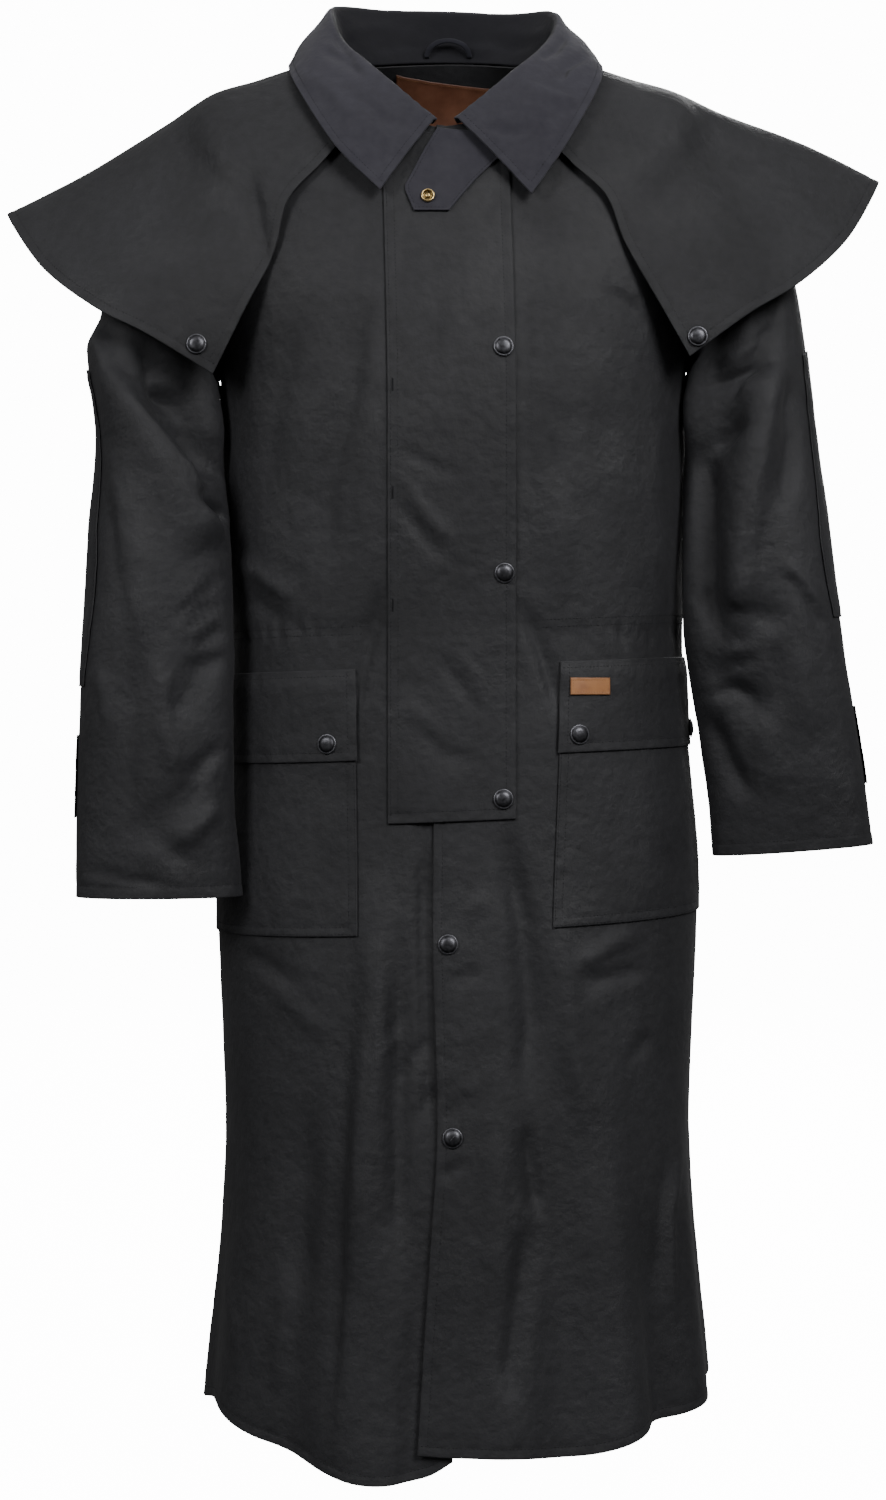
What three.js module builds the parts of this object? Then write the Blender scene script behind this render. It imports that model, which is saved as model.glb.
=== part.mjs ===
// A duster coat with a shoulder cape, in the shape it has when worn, with nobody in it.
// Millimetres, +Z up. The front faces -Y and the wearer's left side is +X.
// The origin is the middle of the neck opening, level with the side neck points, where a wearer carries it.
import * as THREE from "three";

// Driving sizes
const CLOTH = 1.8; // wall of a main panel
const LAYER = 1.6; // wall of a piece sewn on top
const SEAM = 0.4; // gap between two pieces that meet
const HALF_CHEST = 230;
const UNDERLAP = 30; // how far the lower front runs under the upper one
const HEM_START = 900; // down from here the hem's own line draws the rows with it
const LENGTH = 1330;
const TIP_DOWN = 155; // shoulder tip, the top of the armhole
const PIT_DOWN = 390; // underarm point, the foot of the armhole
const ARMHOLE_TURN = 30; // degrees from the side to the armhole's front and back
const WAIST_DOWN = 612; // the waist seam, where the casing of the drawcord is stitched
const SIDE = 90; // degrees from the centre front to the side seam
const CENTRE_BACK = 180;
const SEAM_TURN = 0.06; // degrees that half a seam's gap takes
const SNAP_RADIUS = 9;
const SNAP_GAP = 0.5; // from the cloth to a snap's flat foot
const DEG = Math.PI / 180;

// The body, ring by ring from the neck down. Depths are from the side seam to the front and to the back;
// a ring dips from its side height to its front and back heights, and skews down to the wearer's right.
const BODY = table("down halfWidth front back sideZ frontZ backZ shift skew square", [
  [0, 100, 98, 72, -7, -91, 9, 0, 0, 2],
  [75, 169, 107, 104, -32, -128, -33, 0, 0, 2.1],
  [155, 241, 117, 124, -63, -168, -97, 0, 1, 2.3],
  [210, 237, 125, 133, -112, -207, -150, 2, 3, 2.35],
  [290, 226, 135, 139, -200, -265, -235, 5, 5, 2.35],
  [390, 219, 142, 140, -300, -330, -318, 8, 6, 2.3],
  [500, 217, 141, 136, -430, -440, -436, 9, 7, 2.3],
  [615, 213, 138, 130, -545, -547, -546, 11, 8.5, 2.3],
  [730, 216, 142, 135, -660, -660, -660, 12, 9, 2.3],
  [860, 227, 154, 150, -790, -790, -790, 12, 10, 2.25],
  [1100, 221, 190, 180, -1030, -1030, -1030, 12, 11, 2.2],
  [1330, 242, 228, 215, -1260, -1260, -1260, 11, 12, 2.15],
  [1390, 247, 237, 224, -1320, -1320, -1320, 11, 12, 2.15],
]);

// Long soft folds of the skirt: turn is where one runs at the hem, lean how far it drifts on its way down,
// swell how far it stands out there, or in when negative, and from where it starts.
const SKIRT_FOLDS = table("turn lean swell width from", [
  [-8, 3, -6, 5, 800],
  [-20, -4, 9, 8, 760],
  [-38, -3, -9, 8, 850],
  [-56, 2, 7, 9, 900],
  [-76, 0, -6, 8, 950],
  [8, 2, 6, 7, 820],
  [22, 5, -10, 7, 760],
  [37, 4, 8, 7, 900],
  [48, 2, -11, 5, 1080],
  [63, -2, 8, 8, 900],
  [80, 0, -6, 7, 900],
  [108, 3, 8, 9, 780],
  [126, 2, -9, 8, 840],
  [147, 1, 10, 9, 700],
  [166, 3, -11, 8, 760],
  [185, 0, 9, 9, 820],
  [204, -3, -10, 8, 740],
  [224, -2, 10, 9, 800],
  [246, 0, -8, 8, 900],
]);

// How much longer than LENGTH each panel hangs, round the hem.
const HEM_OF_LEFT_FRONT = table("turn drop", [
  [-10, -2],
  [8, 2],
  [25, 12],
  [42, 3],
  [66, 0],
  [90, 0],
]);
const HEM_OF_RIGHT_FRONT = table("turn drop", [
  [-90, 0],
  [-66, -20],
  [-45, -4],
  [-26, 13],
  [-14, 21],
  [-6, 17],
  [2, -4],
  [8, -8],
]);
const HEM_OF_BACK = table("turn drop", [
  [90, 0],
  [180, 6],
  [270, 0],
]);

// The upper front's free edge, as a distance from the centre plane
const FRONT_EDGE = table("down x", [
  [0, -8],
  [500, -10],
  [787, -10.5],
  [890, -4.5],
  [1026, -2.5],
  [1108, -11],
  [1274, -21],
  [1330, -25],
]);
// Where the lower front dips under the upper one, from its edge, and the two columns beside that edge
const FRONT_STEPS = { cover: 4, dip: 24, first: 15, second: 40 };
const UNDERLAP_CLEAR = { chest: 0.7, hem: 2.7 };
// A patch pocket: its inner edge's distance from the middle, its outer edge's turn, and its rows
const POCKET = {
  innerTop: 93, innerFoot: 83, outerTurn: 87.5, flapTop: 647, flapBend: 6, top: 660, flapFoot: 730, foot: 885,
  flapOverhang: 0.5, steps: 6,
};
// The storm flap, whose upper part leans to the wearer's right
const STORM_FLAP = { sewnX: -51, freeX: 63, foot: 787, lean: 6, leanFoot: 420 };
const FLAP_OUT = LAYER + SEAM + 0.1;
const BACK_STEPS = 18;

// Sleeves, ring by ring from the armhole: the outer and the inner line as the front view shows them, how
// far forward the ring's middle is, and half its depth from front to back. The first ring is the armhole.
const LEFT_SLEEVE = table("ring outX outZ inX inZ y halfDepth", [
  [0, 246, -56, 229, -300, 0, 66],
  [1, 280, -88, 236, -307, -3, 67],
  [2, 305, -134, 237, -319, -8, 70],
  [3, 321, -188, 236, -337, -15, 73],
  [4, 331, -244, 234, -362, -23, 74],
  [5, 337, -303, 232, -394, -31, 73],
  [6, 344, -367, 230, -432, -39, 70],
  [7, 352, -432, 229, -474, -46, 66],
  [8, 360, -500, 228, -522, -52, 60],
  [9, 369, -565, 228, -574, -56, 54],
  [10, 380, -631, 234, -637, -58, 47],
  [11, 389, -695, 243, -700, -60, 41],
  [12, 396, -742, 247, -753, -61, 36],
]);
const RIGHT_SLEEVE = table("ring outX outZ inX inZ y halfDepth", [
  [0, 244, -56, 212, -303, 0, 66],
  [1, 279, -94, 221, -314, -4, 67],
  [2, 301, -142, 222, -328, -10, 70],
  [3, 314, -199, 219, -348, -18, 73],
  [4, 321, -259, 215, -376, -28, 74],
  [5, 320, -322, 211, -410, -38, 73],
  [6, 322, -388, 208, -450, -49, 70],
  [7, 327, -454, 205, -494, -59, 66],
  [8, 330, -523, 203, -542, -69, 60],
  [9, 333, -590, 201, -596, -77, 54],
  [10, 335, -658, 196, -660, -86, 48],
  [11, 336, -726, 190, -728, -93, 41],
  [12, 336, -788, 184, -787, -97, 36],
]);

// Creases of the sleeves, each a straight stretch between two places: around is degrees from the outer line
// to the front, ring counts down the sleeve, and swell is how far the cloth stands out or, negative, sinks.
const LEFT_CREASES = table("around0 ring0 around1 ring1 swell width", [
  [55, 2.6, 140, 5.6, -15, 17],
  [38, 3.4, 118, 7.4, 8, 16],
  [78, 8.6, 150, 7.8, -7, 13],
  [92, 10.0, 150, 8.9, -8, 14],
  [-70, 3.4, -140, 6.4, -10, 18],
  [-60, 8.0, -130, 8.8, -7, 16],
]);
const RIGHT_CREASES = table("around0 ring0 around1 ring1 swell width", [
  [28, 2.6, 148, 6.6, -18, 18],
  [22, 3.8, 128, 8.0, 9, 16],
  [100, 9.6, 150, 8.4, -7, 13],
  [70, 11.2, 140, 10.2, -6, 15],
  [-70, 3.4, -140, 6.4, -10, 18],
  [-60, 8.0, -130, 8.8, -7, 16],
]);
const CREASE_RADIUS = 68; // turns degrees round a sleeve into millimetres
const CREASE_RING = 62; // and rings into millimetres
const ELBOW_OUT = SEAM + 0.6 + LAYER; // outer faces of the elbow patch and of the cuff tab
const TAB_OUT = SEAM + 0.2 + LAYER;
const TAB_COLUMNS = [-80, -59, -37, -16, 0, 10];
const TAB_SNAP = { around: -59, ring: 10.3 };

// The cape from the wearer's right front edge (-1) round the back (0) to the left one (1). It lies over
// the shoulders down to lieDown, lift clear of them there, and then stands out to its hem, sagging a little.
const CAPE = table("place neckTurn turn lieTurn lieDown lift sag hemX hemY hemZ", [
  [-1, 323, 332, 322, 245, 5, 0, -209, -111, -316],
  [-0.9, 312, 314, 306, 215, 12, -4, -268, -110, -280],
  [-0.8, 299, 296, 291, 190, 13, -2, -317, -101, -254],
  [-0.7, 286, 283, 281, 165, 8, 3, -371, -64, -211],
  [-0.6, 271, 270, 270, 152, 6, 4, -413, -5, -151],
  [-0.45, 253, 251, 251, 165, 7.5, 3, -382, 68, -179],
  [-0.3, 233, 231, 231, 200, 8, 0, -318, 124, -230],
  [-0.15, 208, 207, 207, 240, 7, -3, -196, 160, -296],
  [0, 180, 180, 180, 250, 5, 2, 0, 170, -326],
  [0.15, 152, 153, 153, 240, 7, -3, 200, 160, -284],
  [0.3, 127, 129, 129, 200, 8, 0, 320, 124, -210],
  [0.45, 107, 109, 109, 165, 10, -3, 383, 68, -155],
  [0.6, 89, 90, 90, 152, 8, -6, 409, -5, -121],
  [0.7, 74, 77, 79, 165, 11, -4, 371, -64, -184],
  [0.8, 61, 64, 69, 190, 13, -3, 322, -101, -231],
  [0.9, 48, 46, 54, 215, 12, -4, 274, -110, -261],
  [1, 37, 28.5, 38.5, 245, 5, 0, 220, -111, -300],
]);
const CAPE_FIRST_DOWN = 6;
const CAPE_LIFTS = [2.6, 4.2, 5.4, 6.2]; // its clearance over the yoke, on the way to where it leaves it
const CAPE_SAG_AT = 0.55; // share of the way from there to the hem
const CAPE_ROWS = [0, 0.1, 0.2, 0.3, 0.4, 0.5, 0.6, 0.7, 0.8, 0.9, 1];

// The collar from the wearer's right end (-1) round the back (0) to the left end (1): it stands on the neck
// seam at turn, rolls over at roll and falls to edge.
const COLLAR = table("place turn rollX rollY rollZ edgeX edgeY edgeZ", [
  [-1, 354, -8, -109, -88, -58, -128, -155],
  [-0.85, 318, -67, -76, -31, -98, -113, -113],
  [-0.7, 293, -95, -34, 3, -137, -67, -46],
  [-0.55, 268, -108, 8, 36, -146, 10, -8],
  [-0.38, 236, -105, 52, 59, -124, 84, -11],
  [-0.2, 207, -62, 78, 63, -70, 111, -12],
  [0, 180, 0, 84, 63, 0, 117, -13],
  [0.2, 153, 61, 78, 59, 70, 111, -12],
  [0.38, 124, 102, 52, 54, 124, 84, -11],
  [0.55, 92, 107, 8, 31, 143, 10, -7],
  [0.7, 67, 95, -34, 2, 142, -67, -44],
  [0.85, 42, 67, -76, -32, 108, -113, -112],
  [1, 6, 9, -109, -87, 77, -126, -158],
]);
const COLLAR_WALL = 2.2;
const STAND_RUN = 235; // millimetres along the back of the stand to one step of place
const STAND_RISE = 150; // and up the stand to one step of t
const COLLAR_FOOT = SEAM + 1; // from the neck edge of the body up to the middle of the stand's foot
const COLLAR_ROLL = 5; // radius of the fold at the roll line
const COLLAR_ROLL_SHARE = 0.35; // the most of the stand's height that the fold takes
// How far out of the stand the fold begins, tops and ends, in its own radius
const COLLAR_ROLL_OUT = { start: -0.6, top: 0.2, end: 1.7 };
const COLLAR_ROWS = [0, 0.13, 0.25, 0.33, 0.38, 0.43, 0.48, 0.56, 0.7, 0.85, 1];
const COLLAR_STEPS = 36;
const COLLAR_BULGE = 5; // how far the fall stands out halfway down
const COLLAR_BULGE_AT = 0.55;

// Small pieces, placed as the front view shows them
const STORM_SNAPS = table("x z", [
  [51.5, -296],
  [52.5, -496],
  [51.5, -697],
]);
const SKIRT_SNAPS = table("x z", [
  [2.5, -825],
  [6.5, -992],
]);
const POCKET_SNAPS = [
  { name: "left_front", turn: 26.5 }, { name: "left_side", turn: 83 },
  { name: "right_front", turn: -29.5 }, { name: "right_side", turn: -83 },
];
const POCKET_SNAP_DOWN = 714;
const CAPE_SNAP_LIFT = 0.2;
const CAPE_SNAPS = [{ side: "left", place: 0.978, t: 0.965 }, { side: "right", place: -0.965, t: 0.95 }];
const TAB_SOCKET = { x: -15.5, z: -160 };
// A snap's domed cap and the throat tab's open socket, as radius and height from the axis out and back
const CAP_PROFILE = [[0, 0], [SNAP_RADIUS, 0], [SNAP_RADIUS, 1.2], [SNAP_RADIUS * 0.8, 2.6], [0, 3.2]];
const SOCKET_PROFILE = [[0, 0], [6.2, 0], [6.2, 1.4], [5.4, 2.4], [4, 2.4], [3.2, 1.1], [0, 1.1]];
const SNAP_SIDES = 14;
const PATCH = { x0: 110.5, x1: 146, z0: -589, z1: -604.5 };
const LABEL = { x0: -49, x1: 47, top: -4.5, foot: -54, tilt: -0.1125 };
// The hanging loop, which stands off the collar so that a hook goes through
const LOOP = { halfWidth: 23.5, centre: 3, foot: 5, rise: 17, band: 5, stand: 8, steps: 10, wall: 1.4 };
const LOOP_CLEAR = 0.2;
const LEATHER_WALL = 1.4;
const LABEL_IN = CLOTH + 2; // from the back's outer face in to the label
const PATCH_OUT = 2 * (SEAM + LAYER) + SEAM + 1.6;
const TAB_OVER = 2 * (LAYER + SEAM) + 0.5; // outer face of the throat tab
// The throat tab, from under the collar's left leaf to its clipped end: the ends of each row across it.
const THROAT_TAB = table("z0 x0 z1 x1", [
  [-95, -7, -101, 40],
  [-112, -17, -124, 38],
  [-134, -28, -146, 22],
  [-151, -37, -161, 12],
  [-173, -28, -173, 3.5],
]);

const COTTON = { color: 0x35363a, roughness: 0.62, metalness: 0 };
const COLLAR_CLOTH = { color: 0x3d3e47, roughness: 0.85, metalness: 0 };
const LEATHER = { color: 0xa5612c, roughness: 0.55, metalness: 0 };
const GUNMETAL = { color: 0x6a6a70, roughness: 0.35, metalness: 0.9 };
const BRASS = { color: 0xb69a58, roughness: 0.3, metalness: 0.95 };

const coat = new THREE.Group();

// A table as one object a row, from its column names and the rows' numbers.
function table(columns, rows) {
  const names = columns.split(" ");
  return rows.map((row) => Object.fromEntries(row.map((value, i) => [names[i], value])));
}

function clamp(value, low, high) {
  return Math.min(high, Math.max(low, value));
}

function smooth(value) {
  const t = clamp(value, 0, 1);
  return t * t * (3 - 2 * t);
}

// The value of a table's column at a place along another column, on a smooth line through its rows.
function along(table, by, column, at) {
  const last = table.length - 1;
  let i = 0;
  while (i < last - 1 && table[i + 1][by] < at) i += 1;
  const slope = (k) => {
    const a = table[Math.max(k - 1, 0)];
    const b = table[Math.min(k + 1, last)];
    return (b[column] - a[column]) / (b[by] - a[by]);
  };
  const from = table[i];
  const to = table[i + 1];
  const span = to[by] - from[by];
  const t = clamp((at - from[by]) / span, 0, 1);
  const rise = to[column] - from[column];
  const m0 = slope(i) * span;
  const m1 = slope(i + 1) * span;
  return from[column] + t * (m0 + t * (3 * rise - 2 * m0 - m1 + t * (m0 + m1 - 2 * rise)));
}

// A point on a smooth curve through a few points, t from 0 to 1 by their distances.
function through(points, t) {
  const stations = points.map((p) => ({ x: p.x, y: p.y, z: p.z, run: 0 }));
  for (let i = 1; i < stations.length; i += 1) {
    stations[i].run = stations[i - 1].run + points[i].distanceTo(points[i - 1]);
  }
  const at = t * stations[stations.length - 1].run;
  return new THREE.Vector3(...["x", "y", "z"].map((column) => along(stations, "run", column, at)));
}

function skirtSwell(turn, down) {
  let swell = 0;
  for (const fold of SKIRT_FOLDS) {
    const grown = smooth((down - fold.from) / (LENGTH - fold.from));
    const centre = fold.turn - fold.lean * (1 - grown);
    let away = (((turn - centre) % 360) + 540) % 360 - 180;
    away /= fold.width;
    swell += fold.swell * grown * Math.exp(-away * away);
  }
  return swell;
}

// A point of the body's outer surface: turn is degrees from the centre front round to the wearer's left.
function bodyPoint(turn, down) {
  const value = (column) => along(BODY, "down", column, down);
  const power = 2 / value("square");
  const sine = Math.sin(turn * DEG);
  const cosine = Math.cos(turn * DEG);
  const depth = value(cosine > 0 ? "front" : "back");
  const halfWidth = value("halfWidth");
  const x = halfWidth * Math.sign(sine) * Math.abs(sine) ** power;
  const y = -depth * Math.sign(cosine) * Math.abs(cosine) ** power;
  const outX = x / halfWidth ** 2;
  const outY = y / depth ** 2;
  const swell = skirtSwell(turn, down) / Math.hypot(outX, outY);
  const dip = value(cosine > 0 ? "frontZ" : "backZ") - value("sideZ");
  const z = value("sideZ") + dip * cosine * cosine + (value("skew") * x) / HALF_CHEST;
  return new THREE.Vector3(value("shift") + x + outX * swell, y + outY * swell, z);
}

function turnAtX(x, down) {
  const value = (column) => along(BODY, "down", column, down);
  const share = clamp((x - value("shift")) / value("halfWidth"), -1, 1);
  return Math.asin(Math.sign(share) * Math.abs(share) ** (value("square") / 2)) / DEG;
}

// Where on the front, or the back, a point with this x and z lies, as turn and down.
function placeAt(x, z, onTheBack = false) {
  const turnAt = (down) => (onTheBack ? 180 - turnAtX(x, down) : turnAtX(x, down));
  let low = 0;
  let high = LENGTH;
  for (let i = 0; i < 40; i += 1) {
    const middle = (low + high) / 2;
    if (bodyPoint(turnAt(middle), middle).z > z) low = middle;
    else high = middle;
  }
  return { turn: turnAt(low), down: low };
}

// A point moved out from a surface along its normal. The surface is a function of two numbers.
function movedOut(surface, u, v, out, stepU, stepV) {
  const p = surface(u, v);
  const alongU = surface(u + stepU, v).sub(surface(u - stepU, v));
  const alongV = surface(u, v + stepV).sub(surface(u, v - stepV));
  return p.addScaledVector(alongU.cross(alongV).normalize(), out);
}

// The steps from which normals are worked out
const BODY_STEP = { turn: 0.8, down: -2.5 };
const SLEEVE_STEP = { around: 1.2, ring: 0.04 };
const CAPE_STEP = { place: 0.005, t: 0.012 };
const COLLAR_STEP = { place: 0.004, t: 0.008 };

function onBody(turn, down, out) {
  return movedOut(bodyPoint, turn, down, out, BODY_STEP.turn, BODY_STEP.down);
}

// A wall between an outer and an inner grid of points, closed round its edges; a wrapped one is a tube.
function wall(name, outer, inner, look, wrapped = false) {
  const rows = outer.length;
  const columns = outer[0].length;
  const position = [];
  for (const grid of [outer, inner]) {
    for (const row of grid) for (const p of row) position.push(p.x, p.y, p.z);
  }
  const index = [];
  const quad = (a, b, c, d) => index.push(a, b, c, a, c, d);
  const at = (side, i, j) => side * rows * columns + i * columns + (j % columns);
  const spans = wrapped ? columns : columns - 1;
  for (let i = 0; i < rows - 1; i += 1) {
    for (let j = 0; j < spans; j += 1) {
      quad(at(0, i, j), at(0, i + 1, j), at(0, i + 1, j + 1), at(0, i, j + 1));
      quad(at(1, i, j), at(1, i, j + 1), at(1, i + 1, j + 1), at(1, i + 1, j));
    }
  }
  for (let j = 0; j < spans; j += 1) {
    quad(at(0, 0, j), at(0, 0, j + 1), at(1, 0, j + 1), at(1, 0, j));
    quad(at(0, rows - 1, j), at(1, rows - 1, j), at(1, rows - 1, j + 1), at(0, rows - 1, j + 1));
  }
  for (let i = 0; i < rows - 1 && !wrapped; i += 1) {
    quad(at(0, i, 0), at(1, i, 0), at(1, i + 1, 0), at(0, i + 1, 0));
    const end = columns - 1;
    quad(at(0, i, end), at(0, i + 1, end), at(1, i + 1, end), at(1, i, end));
  }
  const geometry = new THREE.BufferGeometry();
  geometry.setAttribute("position", new THREE.Float32BufferAttribute(position, 3));
  geometry.setIndex(index);
  if (volumeOf(position, index) < 0) geometry.setIndex([...index].reverse());
  geometry.computeVertexNormals();
  return add(name, geometry, look);
}

function volumeOf(position, index) {
  const corner = (k) => new THREE.Vector3().fromArray(position, 3 * index[k]);
  let volume = 0;
  for (let k = 0; k < index.length; k += 3) volume += corner(k).dot(corner(k + 1).cross(corner(k + 2))) / 6;
  return volume;
}

function add(name, geometry, look) {
  const mesh = new THREE.Mesh(geometry, new THREE.MeshStandardMaterial(look));
  mesh.name = name;
  coat.add(mesh);
  return mesh;
}

// A wall over a surface: rows of v, and for each row its columns of u, with the outer face `out` away from
// the surface and the wall `thick` inside that.
function panel(name, move, rows, columnsAt, outAt, thick, look, wrapped = false) {
  const grid = (extra) => rows.map((v) => columnsAt(v).map((u) => move(u, v, outAt(u, v) - extra)));
  return wall(name, grid(0), grid(thick), look, wrapped);
}

// Angles down the armhole, which the panels' rows and the sleeve's first ring share.
const ARMHOLE_STEPS = [0, 16, 37, 59, 80, 100, 121, 143, 164, 180];

function armholeDown(step) {
  return TIP_DOWN + ((PIT_DOWN - TIP_DOWN) * (1 - Math.cos(step * DEG))) / 2;
}

function armholeWidth(down) {
  const share = clamp((down - TIP_DOWN) / (PIT_DOWN - TIP_DOWN), 0, 1);
  return ARMHOLE_TURN * Math.sqrt(Math.max(0, 4 * share * (1 - share))) ** 0.9;
}

const PANEL_ROWS = [
  0, 18, 36, 75, 115, ...ARMHOLE_STEPS.map(armholeDown), 445, 500, 557, WAIST_DOWN,
  POCKET.flapTop, POCKET.top, POCKET.flapFoot, STORM_FLAP.foot, POCKET.foot,
  960, 1040, 1120, 1200, 1270, LENGTH,
];
const UPPER_ROWS = [...PANEL_ROWS.filter((down) => down < WAIST_DOWN), WAIST_DOWN - SEAM / 2];
const SKIRT_ROWS = [WAIST_DOWN + SEAM / 2, ...PANEL_ROWS.filter((down) => down > WAIST_DOWN)];

// The rows bend with each panel's own hem.
function hung(hem, turn, down) {
  const drop = along(hem, "turn", "drop", turn);
  return down + drop * smooth((down - HEM_START) / (LENGTH - HEM_START));
}

function evenly(from, to, steps) {
  return Array.from({ length: steps + 1 }, (_, i) => from + ((to - from) * i) / steps);
}

function pocketInnerX(side, down) {
  const share = clamp((down - POCKET.flapTop) / (POCKET.foot - POCKET.flapTop), 0, 1);
  const away = POCKET.innerTop + (POCKET.innerFoot - POCKET.innerTop) * share;
  return along(BODY, "down", "shift", down) + side * away;
}

// How far from the storm flap's line to the panel's outer edge the pocket's inner edge runs.
function pocketShare(side, down, flapX) {
  const at = clamp(down, POCKET.flapTop, POCKET.foot);
  const flapTurn = turnAtX(flapX, at);
  return (turnAtX(pocketInnerX(side, at), at) - flapTurn) / (side * (SIDE - SEAM_TURN) - flapTurn);
}

// Columns of a front panel: from its own edge to the storm flap's line, to the pocket's edge, to the side.
function frontColumns(side, down) {
  const edgeX = along(FRONT_EDGE, "down", "x", down);
  const flapX = flapLine(side > 0 ? STORM_FLAP.freeX : STORM_FLAP.sewnX, down);
  const upper = [edgeX, FRONT_STEPS.first, FRONT_STEPS.second, flapX];
  const lower = [edgeX + UNDERLAP, edgeX - FRONT_STEPS.cover, edgeX - FRONT_STEPS.dip, flapX];
  const near = side > 0 ? upper : lower;
  const flapTurn = turnAtX(flapX, down);
  const outTurn = side * (SIDE - SEAM_TURN - armholeWidth(down));
  const pocketTurn = flapTurn + (outTurn - flapTurn) * pocketShare(side, down, flapX);
  const outer = evenly(pocketTurn, outTurn, POCKET.steps);
  return [...near.map((x) => turnAtX(x, down)), ...outer];
}

// The lower front sinks by one wall where the upper front covers it.
function underlapOut(turn, down) {
  const edgeX = along(FRONT_EDGE, "down", "x", down);
  const dipTurn = turnAtX(edgeX - FRONT_STEPS.dip, down);
  const coverTurn = turnAtX(edgeX - FRONT_STEPS.cover, down);
  const nearHem = smooth((down - HEM_START) / (LENGTH - HEM_START));
  const clear = UNDERLAP_CLEAR.chest + (UNDERLAP_CLEAR.hem - UNDERLAP_CLEAR.chest) * nearHem;
  return -(CLOTH + clear) * smooth((turn - dipTurn) / (coverTurn - dipTurn));
}

// Each front is an upper panel and a skirt panel, which meet at the waist seam.
function buildFronts() {
  const left = (turn, down, out) => onBody(turn, hung(HEM_OF_LEFT_FRONT, turn, down), out);
  const right = (turn, down, out) => onBody(turn, hung(HEM_OF_RIGHT_FRONT, turn, down), out);
  const leftColumns = (down) => frontColumns(1, down);
  const rightColumns = (down) => frontColumns(-1, down).reverse();
  for (const [part, rows] of [["front", UPPER_ROWS], ["skirt", SKIRT_ROWS]]) {
    panel(part + "_left", left, rows, leftColumns, () => 0, CLOTH, COTTON);
    panel(part + "_right", right, rows, rightColumns, underlapOut, CLOTH, COTTON);
  }
}

// The storm flap leans a little over its upper part, and the fronts' columns with it.
function flapLine(x, down) {
  return x - STORM_FLAP.lean * smooth(1 - down / STORM_FLAP.leanFoot);
}

// The back is one upper panel and two skirt panels, which meet at the centre back seam.
function buildBack() {
  const hang = (turn, down, out) => onBody(turn, hung(HEM_OF_BACK, turn, down), out);
  const columns = (down) => {
    const start = SIDE + SEAM_TURN + armholeWidth(down);
    return evenly(start, 2 * CENTRE_BACK - start, BACK_STEPS);
  };
  const leftColumns = () => evenly(SIDE + SEAM_TURN, CENTRE_BACK - SEAM_TURN, BACK_STEPS / 2);
  const rightColumns = () => leftColumns().map((turn) => 2 * CENTRE_BACK - turn).reverse();
  panel("back", hang, UPPER_ROWS, columns, () => 0, CLOTH, COTTON);
  panel("skirt_back_left", hang, SKIRT_ROWS, leftColumns, () => 0, CLOTH, COTTON);
  panel("skirt_back_right", hang, SKIRT_ROWS, rightColumns, () => 0, CLOTH, COTTON);
}

// The storm flap is made from the points of the fronts it covers, moved out.
function buildStormFlap() {
  const rows = PANEL_ROWS.filter((down) => down > 0 && down <= STORM_FLAP.foot);
  const columns = (down) => {
    const edgeX = along(FRONT_EDGE, "down", "x", down);
    const sewnX = flapLine(STORM_FLAP.sewnX, down);
    const freeX = flapLine(STORM_FLAP.freeX, down);
    const under = [edgeX - FRONT_STEPS.dip, edgeX - FRONT_STEPS.cover, FRONT_STEPS.first, FRONT_STEPS.second];
    return [sewnX, ...under, freeX].map((x) => turnAtX(x, down));
  };
  panel("storm_flap", onBody, rows, columns, () => FLAP_OUT, LAYER, COTTON);
}

function buildPocket(side, word) {
  const columnsIn = (inset) => (down) => {
    const all = frontColumns(side, down).slice(-POCKET.steps - 1);
    all[POCKET.steps] = side * POCKET.outerTurn;
    all[0] += side * inset;
    return side > 0 ? all : all.reverse();
  };
  const rows = (from, to) => PANEL_ROWS.filter((down) => down >= from && down <= to);
  const pocketOut = SEAM + LAYER;
  const bend = POCKET.top - POCKET.flapBend;
  const flapOut = (turn, down) => pocketOut * (1 + smooth((down - POCKET.flapTop) / (bend - POCKET.flapTop)));
  const pocketRows = rows(POCKET.top, POCKET.foot);
  const flapRows = [POCKET.flapTop, bend, POCKET.top, POCKET.flapFoot];
  panel("pocket_" + word, onBody, pocketRows, columnsIn(0), () => pocketOut, LAYER, COTTON);
  panel("pocket_flap_" + word, onBody, flapRows, columnsIn(-POCKET.flapOverhang), flapOut, LAYER, COTTON);
}

function sleeveSwell(creases, around, ring) {
  let swell = 0;
  for (const c of creases) {
    const dx = (c.around1 - c.around0) * DEG * CREASE_RADIUS;
    const dy = (c.ring1 - c.ring0) * CREASE_RING;
    const px = (around - c.around0) * DEG * CREASE_RADIUS;
    const py = (ring - c.ring0) * CREASE_RING;
    const length = Math.hypot(dx, dy);
    const share = (px * dx + py * dy) / length ** 2;
    const off = (px * dy - py * dx) / length / c.width;
    const end = Math.max(0, 1 - (2 * share - 1) ** 4) * (share > 0 && share < 1 ? 1 : 0);
    swell += c.swell * end * Math.exp(-off * off);
  }
  return swell;
}

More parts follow.
